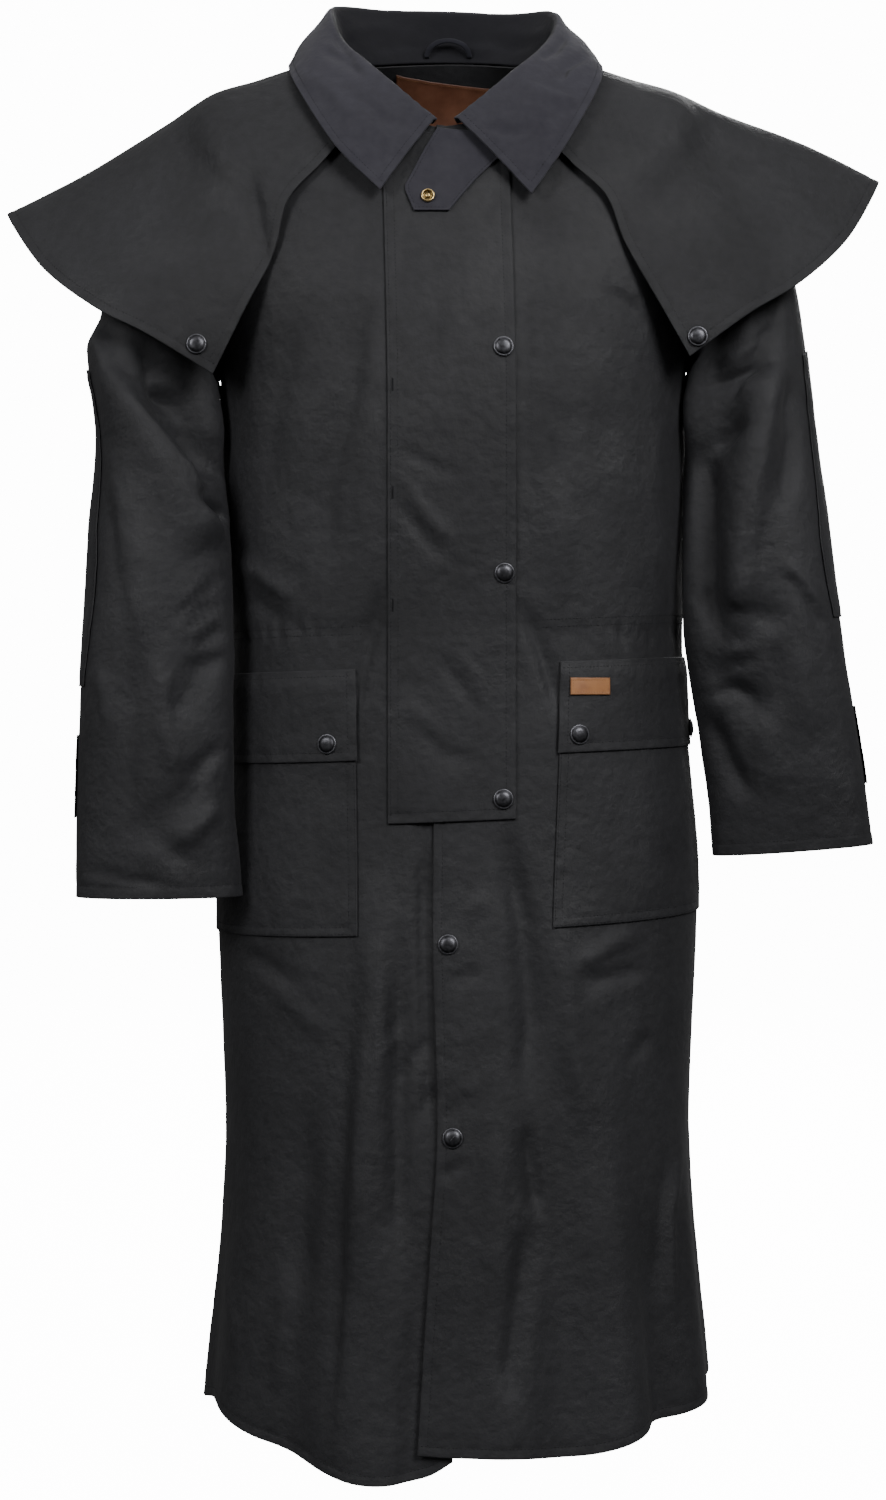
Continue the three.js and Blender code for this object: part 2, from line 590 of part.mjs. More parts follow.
// A point of a sleeve's outer surface: around is degrees from its outer line to the front.
function sleevePoint(table, creases, side, around, ring) {
  const value = (column) => along(table, "ring", column, ring);
  const outer = new THREE.Vector3(side * value("outX"), value("y"), value("outZ"));
  const inner = new THREE.Vector3(side * value("inX"), value("y"), value("inZ"));
  const middle = outer.clone().add(inner).multiplyScalar(0.5);
  const half = outer.clone().sub(middle);
  const wrapped = ((around + 540) % 360) - 180;
  const swell = sleeveSwell(creases, wrapped, ring) * smooth(ring / 1.5);
  const cosine = Math.cos(around * DEG);
  const sine = Math.sin(around * DEG);
  const forward = value("halfDepth");
  const p = middle.addScaledVector(half, cosine * (1 + swell / half.length()));
  p.y -= sine * (forward + swell);
  if (ring >= 1) return p;
  return p.lerp(armholePoint(side, around), (1 - ring) ** 1.5);
}

// The armhole's edge on the body, with around running from the shoulder tip down the front.
function armholePoint(side, around) {
  const step = Math.abs(((around + 540) % 360) - 180);
  const down = armholeDown(step);
  const front = Math.sin(around * DEG) >= 0 ? -1 : 1;
  return bodyPoint(side * (SIDE + front * armholeWidth(down)), down);
}

const SLEEVE_AROUND = [...ARMHOLE_STEPS, ...ARMHOLE_STEPS.slice(1, -1).map((a) => 360 - a).reverse()];
const SLEEVE_RINGS = [
  0.02, 0.5, 1, 1.6, 2.2, 2.8, 3.4, 4, 4.7, 5.4, 6.1, 6.8, 7.5, 8, 8.5, 9.1, 9.75, 10.3, 10.85, 11.4, 12,
];
const PATCH_RINGS = { top: 4.7, left: 8.5, right: 9.1 };
const ELBOW_EDGE = table("ring front back", [
  [4.7, 33, -92],
  [6.8, 37, -98],
  [7.5, 40, -98],
  [9.1, 27, -88],
]);
const CUFF_RINGS = [9.75, 10.3, 10.85];

function sleeveMove(table, creases, side) {
  return (around, ring, out) => {
    const surface = (a, r) => sleevePoint(table, creases, side, a, Math.max(r, 0.002));
    return movedOut(surface, around, ring, out, SLEEVE_STEP.around, side * SLEEVE_STEP.ring);
  };
}

function buildSleeve(table, creases, side, word) {
  const move = sleeveMove(table, creases, side);
  panel("sleeve_" + word, move, SLEEVE_RINGS, () => SLEEVE_AROUND, () => 0, CLOTH, COTTON, true);
  const patchRings = SLEEVE_RINGS.filter((ring) => ring >= PATCH_RINGS.top && ring <= PATCH_RINGS[word]);
  const edge = (column, ring) => along(ELBOW_EDGE, "ring", column, ring);
  const patchColumns = (ring) => [edge("back", ring), -80, -59, -37, -16, 0, 16, edge("front", ring)];
  panel("elbow_patch_" + word, move, patchRings, patchColumns, () => ELBOW_OUT, LAYER, COTTON);
  panel("cuff_tab_" + word, move, CUFF_RINGS, () => TAB_COLUMNS, () => TAB_OUT, LAYER, COTTON);
  const { around, ring } = TAB_SNAP;
  seat(snap("snap_cuff_" + word), move(around, ring, TAB_OUT), move(around, ring, TAB_OUT + 1));
}

function capePoint(place, t) {
  const value = (column) => along(CAPE, "place", column, place);
  const turns = table("share turn", [[0, value("neckTurn")], [0.5, value("turn")], [1, value("lieTurn")]]);
  const lie = value("lieDown");
  const lifts = [...CAPE_LIFTS, value("lift")];
  const points = lifts.map((lift, i) => {
    const share = i / (lifts.length - 1);
    const down = CAPE_FIRST_DOWN + (lie - CAPE_FIRST_DOWN) * share;
    return onBody(along(turns, "share", "turn", share), down, lift + CLOTH);
  });
  const hem = new THREE.Vector3(value("hemX"), value("hemY"), value("hemZ"));
  const between = points[points.length - 1].clone().lerp(hem, CAPE_SAG_AT);
  between.z -= value("sag");
  return through([...points, between, hem], clamp(t, 0, 1));
}

// Near its ends the surface's normal is taken a step inside them, so that it stays true.
function movedOutInside(surface, place, t, out, step) {
  const inPlace = clamp(place, step.place - 1, 1 - step.place);
  const inT = clamp(t, step.t, 1 - step.t);
  const normal = movedOut(surface, inPlace, inT, 1, step.place, step.t).sub(surface(inPlace, inT));
  return surface(place, t).addScaledVector(normal, out);
}

function onCape(place, t, out) {
  return movedOutInside(capePoint, place, t, out, CAPE_STEP);
}

function buildCape() {
  const places = CAPE.slice(0, -1).flatMap((row, i) => {
    const next = CAPE[i + 1].place;
    return [row.place, (row.place + next) / 2];
  });
  panel("cape", onCape, CAPE_ROWS, () => [...places, 1], () => 0, CLOTH, COTTON);
  for (const { side, place, t } of CAPE_SNAPS) {
    seat(snap("snap_cape_" + side), onCape(place, t, CAPE_SNAP_LIFT), onCape(place, t, CAPE_SNAP_LIFT + 1));
  }
}

// The collar's middle surface: t runs from the neck seam up the stand, over the roll and down the fall.
function collarPoint(place, t) {
  const value = (column) => along(COLLAR, "place", column, place);
  const foot = bodyPoint(value("turn"), 0);
  foot.z += COLLAR_FOOT;
  const roll = new THREE.Vector3(value("rollX"), value("rollY"), value("rollZ"));
  const edge = new THREE.Vector3(value("edgeX"), value("edgeY"), value("edgeZ"));
  const outward = new THREE.Vector3(edge.x - foot.x, edge.y - foot.y, 0).normalize();
  const up = roll.clone().sub(foot);
  const round = Math.min(COLLAR_ROLL, up.length() * COLLAR_ROLL_SHARE);
  up.normalize();
  const bulge = (COLLAR_BULGE * round) / COLLAR_ROLL;
  const rolled = (sink, out) => roll.clone().addScaledVector(up, -sink).addScaledVector(outward, round * out);
  const middle = roll.clone().lerp(edge, COLLAR_BULGE_AT).addScaledVector(outward, bulge);
  middle.z += bulge / 2;
  const fold = [
    rolled(round, COLLAR_ROLL_OUT.start), rolled(0, COLLAR_ROLL_OUT.top), rolled(round, COLLAR_ROLL_OUT.end),
  ];
  return through([foot, ...fold, middle, edge], clamp(t, 0, 1));
}

function onCollar(place, t, out) {
  return movedOutInside(collarPoint, place, t, out, COLLAR_STEP);
}

function buildCollar() {
  const places = evenly(-1, 1, COLLAR_STEPS);
  panel("collar", onCollar, COLLAR_ROWS, () => places, () => COLLAR_WALL / 2, COLLAR_WALL, COLLAR_CLOTH);
}

// The hanging loop is a band that arches over the inner side of the stand at the back, with room behind it.
function buildLoop() {
  const at = (isOuter, k, depth) => {
    const angle = (Math.PI * k) / LOOP.steps;
    const reach = LOOP.halfWidth - (isOuter ? 0 : LOOP.band);
    const rise = LOOP.foot + (LOOP.rise - (isOuter ? 0 : LOOP.band)) * Math.sin(angle);
    const out = COLLAR_WALL / 2 + SEAM + LOOP_CLEAR + LOOP.stand * Math.sin(angle) + depth;
    return onCollar((LOOP.centre - reach * Math.cos(angle)) / STAND_RUN, rise / STAND_RISE, out);
  };
  const steps = evenly(0, LOOP.steps, LOOP.steps);
  const grid = (depth) => [false, true].map((outer) => steps.map((k) => at(outer, k, depth)));
  wall("hanging_loop", grid(LOOP.wall), grid(0), COLLAR_CLOTH);
}

// The neck label inside the back and the patch on the left pocket flap, both blank.
function buildLeather() {
  const onBack = (x, z, out) => {
    const { turn, down } = placeAt(x, z + LABEL.tilt * x, true);
    return onBody(turn, down, out);
  };
  const onFlap = (x, z, out) => {
    const { turn, down } = placeAt(x, z);
    return onBody(turn, down, out);
  };
  const labelRows = evenly(LABEL.top, LABEL.foot, 3);
  const labelColumns = () => evenly(LABEL.x0, LABEL.x1, 6);
  const patchRows = evenly(PATCH.z0, PATCH.z1, 2);
  const patchColumns = () => evenly(PATCH.x0, PATCH.x1, 3);
  panel("neck_label", onBack, labelRows, labelColumns, () => -LABEL_IN, LEATHER_WALL, LEATHER);
  panel("leather_patch", onFlap, patchRows, patchColumns, () => PATCH_OUT, LEATHER_WALL, LEATHER);
}

function buildThroatTab() {
  const grid = (out) => THROAT_TAB.map((row) => evenly(0, 1, 4).map((share) => {
    const x = row.x0 + (row.x1 - row.x0) * share;
    const z = row.z0 + (row.z1 - row.z0) * share;
    const spot = placeAt(x, z);
    return onBody(spot.turn, spot.down, out);
  }));
  wall("throat_tab", grid(TAB_OVER), grid(TAB_OVER - LAYER), COLLAR_CLOTH);
  const { turn, down } = placeAt(TAB_SOCKET.x, TAB_SOCKET.z);
  const socket = add("snap_throat", lathed(SOCKET_PROFILE), BRASS);
  seat(socket, onBody(turn, down, TAB_OVER), onBody(turn, down, TAB_OVER + 1));
}

function lathed(profile) {
  const geometry = new THREE.LatheGeometry(profile.map(([r, h]) => new THREE.Vector2(r, h)), SNAP_SIDES);
  return geometry.rotateX(Math.PI / 2);
}

function snap(name) {
  return add(name, lathed(CAP_PROFILE), GUNMETAL);
}

// Sets a round piece down over a spot, facing the second point.
function seat(mesh, spot, ahead) {
  const outward = ahead.clone().sub(spot).normalize();
  mesh.quaternion.setFromUnitVectors(new THREE.Vector3(0, 0, 1), outward);
  mesh.position.copy(spot).addScaledVector(outward, SNAP_GAP);
}

function buildBodySnaps() {
  const place = (name, { turn, down }, out) => {
    seat(snap(name), onBody(turn, down, out), onBody(turn, down, out + 1));
  };
  STORM_SNAPS.forEach(({ x, z }, i) => place("snap_storm_" + (i + 1), placeAt(x, z), FLAP_OUT));
  SKIRT_SNAPS.forEach(({ x, z }, i) => place("snap_skirt_" + (i + 1), placeAt(x, z), 0));
  for (const { name, turn } of POCKET_SNAPS) {
    place("snap_pocket_" + name, { turn, down: POCKET_SNAP_DOWN }, 2 * (LAYER + SEAM));
  }
}

buildFronts();
buildBack();
buildStormFlap();
buildPocket(1, "left");
buildPocket(-1, "right");
buildSleeve(LEFT_SLEEVE, LEFT_CREASES, 1, "left");
buildSleeve(RIGHT_SLEEVE, RIGHT_CREASES, -1, "right");
buildCape();
buildCollar();
buildLoop();
buildLeather();
buildThroatTab();
buildBodySnaps();

export default coat;
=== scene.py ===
"""A duster coat with a shoulder cape: fine cloth, stitching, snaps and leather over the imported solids.

Tables and places are in millimetres in the coat's own frame: +Z is up, the front faces -Y, and the
wearer's left side is +X. Meshes are made in metres. A crease's path is given as the picture's pixels,
and it is laid where the picture's camera sees it on the cloth.
"""

import logging
import math
from collections.abc import Sequence
from dataclasses import dataclass, field
from enum import Enum

import bpy
import numpy as np
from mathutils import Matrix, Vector, noise


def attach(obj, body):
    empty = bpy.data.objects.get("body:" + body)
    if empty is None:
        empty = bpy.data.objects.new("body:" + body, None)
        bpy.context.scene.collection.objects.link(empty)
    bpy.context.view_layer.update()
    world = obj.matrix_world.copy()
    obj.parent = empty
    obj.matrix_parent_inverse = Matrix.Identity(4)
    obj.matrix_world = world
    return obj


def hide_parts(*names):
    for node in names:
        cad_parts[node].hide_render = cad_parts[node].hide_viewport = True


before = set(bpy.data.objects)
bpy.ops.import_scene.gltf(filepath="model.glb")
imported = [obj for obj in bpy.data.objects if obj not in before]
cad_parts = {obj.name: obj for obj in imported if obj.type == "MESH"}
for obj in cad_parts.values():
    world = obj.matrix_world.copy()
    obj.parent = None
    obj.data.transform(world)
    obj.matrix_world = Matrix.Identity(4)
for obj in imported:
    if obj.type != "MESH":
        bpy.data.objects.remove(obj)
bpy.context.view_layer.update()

log = logging.getLogger("duster_coat")

Array = np.ndarray
Three = tuple[float, float, float]
Pairs = tuple[tuple[float, float], ...]

MM = 0.001
CLOTH = 1.4  # wall of a shell, where the solid's is 1.8
LENGTH = 1330.0
TIP_DOWN = 155.0
PIT_DOWN = 390.0
ARMHOLE_TURN = 30.0
HEM_START = 900.0
HEM_STITCH = 8.5  # from an edge in to its line of stitches
FINE = 5.0  # spacing of a shell's points
COARSE = 6.0  # and of the back's
NEAR_SEAM = (0.0, 1.0, 2.6, 5.5, 10.0)


class Side(Enum):
    """The wearer's sides, as the sign of X."""

    LEFT = 1
    RIGHT = -1

    @property
    def word(self) -> str:
        """The side's name in node names."""
        return self.name.lower()


class Slot(Enum):
    """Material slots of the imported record."""

    OILSKIN = "oilskin"
    COLLAR_CLOTH = "collar_cloth"
    LEATHER = "leather"
    SNAP_METAL = "snap_metal"
    BRASS = "brass"


def smooth(value: Array | float) -> Array:
    """An even step from 0 to 1."""
    t = np.clip(value, 0.0, 1.0)
    return t * t * (3 - 2 * t)


def unit(vectors: Array) -> Array:
    """Vectors brought to length 1."""
    return vectors / np.maximum(np.linalg.norm(vectors, axis=-1, keepdims=True), 1e-9)


def bend(begin: Array, end: Array, leave: Array, reach: Array, t: Array) -> Array:
    """A smooth line from one value to the next.

    Args:
        begin: the first value.
        end: the next value.
        leave: the slope at the first.
        reach: the slope at the next.
        t: how far between them, 0 to 1.

    Returns:
        The line's values.
    """
    rise = end - begin
    return begin + t * (leave + t * (3 * rise - 2 * leave - reach + t * (leave + reach - 2 * rise)))


def walked(at: Array | float, walk: Array, values: Array) -> Array:
    """Points read at places along a walk."""
    return np.stack([np.interp(at, walk, values[:, k]) for k in range(3)], axis=-1)


class Table:
    """A short table with named columns, read on a smooth line through its rows."""

    def __init__(self, columns: str, *rows: Sequence[float]) -> None:
        """Keeps the columns.

        Args:
            columns: the columns' names; the first is the one that places are given in.
            rows: the rows' numbers.
        """
        names = columns.split()
        self.columns = {name: np.array([row[i] for row in rows], float) for i, name in enumerate(names)}
        self.places = self.columns[names[0]]

    def at(self, column: str, place: Array | float) -> Array:
        """A column's value.

        Args:
            column: the column's name.
            place: where along the first column.

        Returns:
            The values, in the shape of place.
        """
        xs, ys = self.places, self.columns[column]
        i = np.searchsorted(xs[1:-1], place, side="left")
        slope = np.empty_like(ys)
        slope[1:-1] = (ys[2:] - ys[:-2]) / (xs[2:] - xs[:-2])
        slope[0] = (ys[1] - ys[0]) / (xs[1] - xs[0])
        slope[-1] = (ys[-1] - ys[-2]) / (xs[-1] - xs[-2])
        span = xs[i + 1] - xs[i]
        t = np.clip((place - xs[i]) / span, 0, 1)
        return bend(ys[i], ys[i + 1], slope[i] * span, slope[i + 1] * span, t)


def through(points: Array, share: Array) -> Array:
    """Points on smooth curves through a few points each.

    Args:
        points: the curves' own points, (..., n, 3).
        share: how far along each curve, by the points' distances.

    Returns:
        One point a curve, (..., 3).
    """
    legs = np.linalg.norm(np.diff(points, axis=-2), axis=-1)
    run = np.concatenate([np.zeros(legs.shape[:-1] + (1,)), np.cumsum(legs, axis=-1)], axis=-1)
    at = np.clip(share, 0, 1) * run[..., -1]
    i = (run[..., 1:-1] < at[..., None]).sum(-1)
    last = points.shape[-2] - 1

    def point(k: Array) -> Array:
        """Each curve's own point k."""
        return np.take_along_axis(points, np.clip(k, 0, last)[..., None, None], axis=-2)[..., 0, :]

    def place(k: Array) -> Array:
        """How far along each curve its point k is."""
        return np.take_along_axis(run, np.clip(k, 0, last)[..., None], axis=-1)

    span = place(i + 1) - place(i)
    start = (point(i + 1) - point(i - 1)) / (place(i + 1) - place(i - 1)) * span
    stop = (point(i + 2) - point(i)) / (place(i + 2) - place(i)) * span
    t = np.clip((at[..., None] - place(i)) / span, 0, 1)
    return bend(point(i), point(i + 1), start, stop, t)


class Picture:
    """The picture's camera, which tells where a point of the coat shows in it."""

    width, height = 886.0, 1500.0
    place = np.array([-2.0, -2200.0, -600.0])
    target = np.array([-2.0, 0.0, -657.0])
    field_deg = 35.9

    @classmethod
    def seen(cls, points: Array) -> Array:
        """The picture's column and row of points.

        Args:
            points: points of the coat, (..., 3).

        Returns:
            Columns and rows in pixels, (..., 2).
        """
        forward = unit(cls.target - cls.place)
        right = unit(np.cross(forward, [0.0, 0.0, 1.0]))
        up = np.cross(right, forward)
        away = points - cls.place
        scale = cls.height / 2 / math.tan(math.radians(cls.field_deg / 2)) / (away @ forward)
        return np.stack([cls.width / 2 + away @ right * scale, cls.height / 2 - away @ up * scale], axis=-1)


@dataclass(frozen=True)
class Crease:
    """A soft ridge or, with a negative rise, a trough along a line of places."""

    path: Pairs
    rise: float
    width: float
    lean: float = 0.0  # above 0 the right side of a path drawn downwards is the steep one
    fade: float = 0.35  # share of the length over which each end dies away

    def swell(self, chart: Array) -> Array:
        """How far the crease lifts the cloth.

        Args:
            chart: places in the path's own measure, (..., 2).

        Returns:
            Millimetres, in the shape of the places.
        """
        ends = np.array(self.path, float)
        legs = np.linalg.norm(np.diff(ends, axis=0), axis=1)
        total = legs.sum()
        best = np.full(chart.shape[:-1], 1e9)
        side = np.zeros_like(best)
        along = np.zeros_like(best)
        for k, leg in enumerate(legs):
            way = (ends[k + 1] - ends[k]) / leg
            away = chart - ends[k]
            t = np.clip(away @ way, 0, leg)
            off = away - t[..., None] * way
            gap = np.linalg.norm(off, axis=-1)
            near = gap < best
            best = np.where(near, gap, best)
            side = np.where(near, np.sign(away[..., 0] * way[1] - away[..., 1] * way[0]), side)
            along = np.where(near, (legs[:k].sum() + t) / total, along)
        width = self.width * (1 - self.lean * side)
        taper = smooth(np.minimum(along, 1 - along) / self.fade + 0.15)
        return self.rise * taper * np.exp(-((best / width) ** 2))


@dataclass(frozen=True)
class Rumple:
    """Low, uneven waves all over a cloth."""

    rise: float
    across: float
    along: float
    seed: float

    def swell(self, chart: Array) -> Array:
        """How far the waves lift the cloth, in millimetres, at places in millimetres on its chart."""
        flat = chart.reshape(-1, 2)
        lifts = [
            noise.noise(Vector((x / self.across, y / self.along, self.seed)))
            + 0.45 * noise.noise(Vector((2.3 * x / self.across, 2.1 * y / self.along, self.seed + 9.0)))
            for x, y in flat.tolist()
        ]
        return self.rise * np.array(lifts).reshape(chart.shape[:-1])


@dataclass(frozen=True)
class Relief:
    """All the creases of a cloth: those laid by the picture, those laid on its own chart, and its rumples."""

    seen: tuple[Crease, ...] = ()
    own: tuple[Crease, ...] = ()
    rumples: tuple[Rumple, ...] = ()
    depth: float = 1.6  # how much more the picture's creases are raised than their rises say

    def swell(self, points: Array, normals: Array, chart: Array) -> Array:
        """How far the cloth stands out.

        Args:
            points: the smooth surface's points.
            normals: its outward normals there.
            chart: places on the surface's own chart, in millimetres.

        Returns:
            Millimetres out.
        """
        total = np.zeros(points.shape[:-1])
        picture = Picture.seen(points)
        facing = smooth(0.15 - normals[..., 1] / 0.4)
        for crease in self.seen:
            total += crease.swell(picture) * facing * self.depth
        for crease in self.own:
            total += crease.swell(chart)
        for rumple in self.rumples:
            total += rumple.swell(chart)
        return total


class Surface:
    """A smooth surface whose points are given by two numbers."""

    step_u = 1.0
    step_v = 1.0
    relief = Relief()

    def points(self, u: Array, v: Array) -> Array:
        """The surface's points at u and v."""
        raise NotImplementedError

    def normals(self, u: Array, v: Array) -> Array:
        """The surface's outward normals at u and v."""
        along_u = self.points(u + self.step_u, v) - self.points(u - self.step_u, v)
        along_v = self.points(u, v + self.step_v) - self.points(u, v - self.step_v)
        return unit(np.cross(along_u, along_v))

    def chart(self, u: Array, v: Array) -> Array:
        """Places in millimetres on the surface's own chart."""
        return np.stack([u, v], axis=-1)

    def lifted(self, u: Array, v: Array, out: Array | float) -> tuple[Array, Array]:
        """The creased surface, moved out.

        Args:
            u: the points' first number.
            v: their second number.
            out: how far they are moved out.

        Returns:
            The points, and the normals that they were moved along.
        """
        u, v = np.broadcast_arrays(np.asarray(u, float), np.asarray(v, float))
        points, normals = self.points(u, v), self.normals(u, v)
        swell = self.relief.swell(points, normals, self.chart(u, v))
        return points + normals * (swell + out)[..., None], normals


class Trunk(Surface):
    """The body from the neck to the hem. Its numbers are turn, degrees from the centre front to the
    wearer's left, and down, millimetres down from the neck."""

    step_u = 0.8
    step_v = -2.5
    degree_mm = 3.9  # about the girth of one degree
    rings = Table(
        "down halfWidth front back sideZ frontZ backZ shift skew square",
        (0, 100, 98, 72, -7, -91, 9, 0, 0, 2),
        (75, 169, 107, 104, -32, -128, -33, 0, 0, 2.1),
        (155, 241, 117, 124, -63, -168, -97, 0, 1, 2.3),
        (210, 237, 125, 133, -112, -207, -150, 2, 3, 2.35),
        (290, 226, 135, 139, -200, -265, -235, 5, 5, 2.35),
        (390, 219, 142, 140, -300, -330, -318, 8, 6, 2.3),
        (500, 217, 141, 136, -430, -440, -436, 9, 7, 2.3),
        (615, 213, 138, 130, -545, -547, -546, 11, 8.5, 2.3),
        (730, 216, 142, 135, -660, -660, -660, 12, 9, 2.3),
        (860, 227, 154, 150, -790, -790, -790, 12, 10, 2.25),
        (1100, 221, 190, 180, -1030, -1030, -1030, 12, 11, 2.2),
        (1330, 242, 228, 215, -1260, -1260, -1260, 11, 12, 2.15),
        (1390, 247, 237, 224, -1320, -1320, -1320, 11, 12, 2.15),
    )
    # Long soft folds of the skirt: where one runs at the hem, how far it drifts, how far it stands out,
    # how wide it is, and from where down it starts
    folds = (
        (-8, 3, -6, 5, 800), (-20, -4, 9, 8, 760), (-38, -3, -9, 8, 850), (-56, 2, 7, 9, 900),
        (-76, 0, -6, 8, 950), (8, 2, 6, 7, 820), (22, 5, -10, 7, 760), (37, 4, 8, 7, 900),
        (48, 2, -11, 5, 1080), (63, -2, 8, 8, 900), (80, 0, -6, 7, 900), (108, 3, 8, 9, 780),
        (126, 2, -9, 8, 840), (147, 1, 10, 9, 700), (166, 3, -11, 8, 760), (185, 0, 9, 9, 820),
        (204, -3, -10, 8, 740), (224, -2, 10, 9, 800), (246, 0, -8, 8, 900),
    )
    skew_width = 230.0

    def fold_swell(self, turn: Array, down: Array) -> Array:
        """How far the skirt's long folds stand out.

        Args:
            turn: turns on the body.
            down: distances down.

        Returns:
            Millimetres out.
        """
        total = np.zeros(np.broadcast(turn, down).shape)
        for at, lean, swell, width, start in self.folds:
            grown = smooth((down - start) / (LENGTH - start))
            away = (turn - (at - lean * (1 - grown)) + 540) % 360 - 180
            total += swell * grown * np.exp(-((away / width) ** 2))
        return total

    def points(self, u: Array, v: Array) -> Array:
        """The body's points.

        Args:
            u: turns from the centre front.
            v: distances down from the neck.

        Returns:
            The points, (..., 3).
        """
        sine, cosine = np.sin(np.radians(u)), np.cos(np.radians(u))
        ring = {name: self.rings.at(name, v) for name in self.rings.columns}
        power = 2 / ring["square"]
        ahead = cosine > 0
        depth = np.where(ahead, ring["front"], ring["back"])
        x = ring["halfWidth"] * np.sign(sine) * np.abs(sine) ** power
        y = -depth * np.sign(cosine) * np.abs(cosine) ** power
        out_x, out_y = x / ring["halfWidth"] ** 2, y / depth**2
        swell = self.fold_swell(u, v) / np.hypot(out_x, out_y)
        dip = np.where(ahead, ring["frontZ"], ring["backZ"]) - ring["sideZ"]
        z = ring["sideZ"] + dip * cosine**2 + ring["skew"] * x / self.skew_width
        return np.stack([ring["shift"] + x + out_x * swell, y + out_y * swell, z], axis=-1)

    def chart(self, u: Array, v: Array) -> Array:
        """Millimetres round from the centre front, and down."""
        return np.stack([u * self.degree_mm, v], axis=-1)

    def turn_at(self, x: Array | float, down: Array | float) -> Array:
        """The turn at which the front has a given X.

        Args:
            x: the X.
            down: how far down.

        Returns:
            Degrees from the centre front.
        """
        share = (x - self.rings.at("shift", down)) / self.rings.at("halfWidth", down)
        share = np.clip(share, -1, 1)
        return np.degrees(np.arcsin(np.sign(share) * np.abs(share) ** (self.rings.at("square", down) / 2)))

    def place_at(self, x: Array, z: Array, on_the_back: bool) -> tuple[Array, Array]:
        """Where points lie, as turns and downs.

        Args:
            x: their X.
            z: their Z.
            on_the_back: whether they are on the back and not on the front.

        Returns:
            Turns and downs.
        """
        low, high = np.zeros(np.shape(x)), np.full(np.shape(x), LENGTH)

        def turn(down: Array) -> Array:
            """The turns at distances down."""
            ahead = self.turn_at(x, down)
            return 180 - ahead if on_the_back else ahead

        for _ in range(40):
            middle = (low + high) / 2
            above = self.points(turn(middle), middle)[..., 2] > z
            low, high = np.where(above, middle, low), np.where(above, high, middle)
        return turn(low), low


def armhole_width(down: Array) -> Array:
    """Half the armhole's width in degrees of turn."""
    share = np.clip((down - TIP_DOWN) / (PIT_DOWN - TIP_DOWN), 0, 1)
    return ARMHOLE_TURN * np.sqrt(np.maximum(0, 4 * share * (1 - share))) ** 0.9


def armhole_down(step: Array) -> Array:
    """How far down the armhole's edge is, step degrees round it from the shoulder tip."""
    return TIP_DOWN + (PIT_DOWN - TIP_DOWN) * (1 - np.cos(np.radians(step))) / 2


class Sleeve(Surface):
    """A sleeve. Its numbers are around, degrees from its outer line to the front, and ring."""

    step_u = 1.2
    degree_mm = 68 * math.pi / 180
    ring_mm = 62.0
    inner_turn = 160.0
    spare = 12.0  # how far the cloth by the inner line fills out towards the body's front
    full_from = 1.7
    gusset_turn = -150.0
    gusset = 8.7  # and behind the armpit
    gusset_rings = (0.8, 3.8)
    chest_turn = 143.0
    chest_side = 13.0  # and beside the chest, below the armpit
    chest_rings = (1.2, 5.0)

    def __init__(
        self,
        side: Side,
        trunk: Trunk,
        rings: Table,
        folds: tuple[Crease, ...],
        relief: Relief,
        full_to: float,
    ) -> None:
        """Keeps what the sleeve is made from.

        Args:
            side: the wearer's side.
            trunk: the body that it is sewn to.
            rings: its rings from the armhole to the cuff.
            folds: its main folds.
            relief: its creases.
            full_to: the ring down to which it fills out towards the body.
        """
        self.side, self.trunk, self.rings, self.folds, self.relief = side, trunk, rings, folds, relief
        self.step_v = side.value * 0.04
        wide, tall = self.degree_mm, self.ring_mm
        places = (
            (self.inner_turn, (self.full_from, full_to), self.spare, 34.0, 0.3),
            (self.gusset_turn, self.gusset_rings, self.gusset, 30.0, 0.4),
            (self.chest_turn, self.chest_rings, self.chest_side, 18.0, 0.35),
        )
        self.fullness = tuple(
            Crease(tuple((wide * turn, ring * tall) for ring in ends), rise, width, 0.0, fade)
            for turn, ends, rise, width, fade in places
        )

    def chart(self, u: Array, v: Array) -> Array:
        """Millimetres round from the outer line to the front, and down the sleeve."""
        return np.stack([((u + 540) % 360 - 180) * self.degree_mm, v * self.ring_mm], axis=-1)

    def points(self, u: Array, v: Array) -> Array:
        """The sleeve's points, a tube that blends into the armhole's edge.

        Args:
            u: degrees around, from the outer line to the front.
            v: rings, from 0 at the armhole.

        Returns:
            The points, (..., 3).
        """
        ring = np.maximum(v, 0.002)
        sign = self.side.value
        row = {name: self.rings.at(name, ring) for name in self.rings.columns}
        outer = np.stack([sign * row["outX"], row["y"], row["outZ"]], axis=-1)
        inner = np.stack([sign * row["inX"], row["y"], row["inZ"]], axis=-1)
        middle, half = (outer + inner) / 2, (outer - inner) / 2
        swell = sum(fold.swell(self.chart(u, ring)) for fold in self.folds) * smooth(ring / 1.5)
        cosine, sine = np.cos(np.radians(u)), np.sin(np.radians(u))
        wider = np.where(cosine < 0, np.maximum(swell, 0), swell)
        grown = cosine * (1 + wider / np.linalg.norm(half, axis=-1))
        tube = middle + half * grown[..., None]
        tube[..., 1] -= sine * (row["halfDepth"] + swell)
        tube[..., 0] -= sign * sum(part.swell(self.chart(u, ring)) for part in self.fullness)
        step = np.abs((u + 540) % 360 - 180)
        down = armhole_down(step)
        ahead = np.where(sine >= 0, -1, 1)
        edge, _ = self.trunk.lifted(sign * (90 + ahead * armhole_width(down)), down, 0.0)
        share = (np.clip(1 - ring, 0, 1) ** 1.5)[..., None]
        return tube * (1 - share) + edge * share


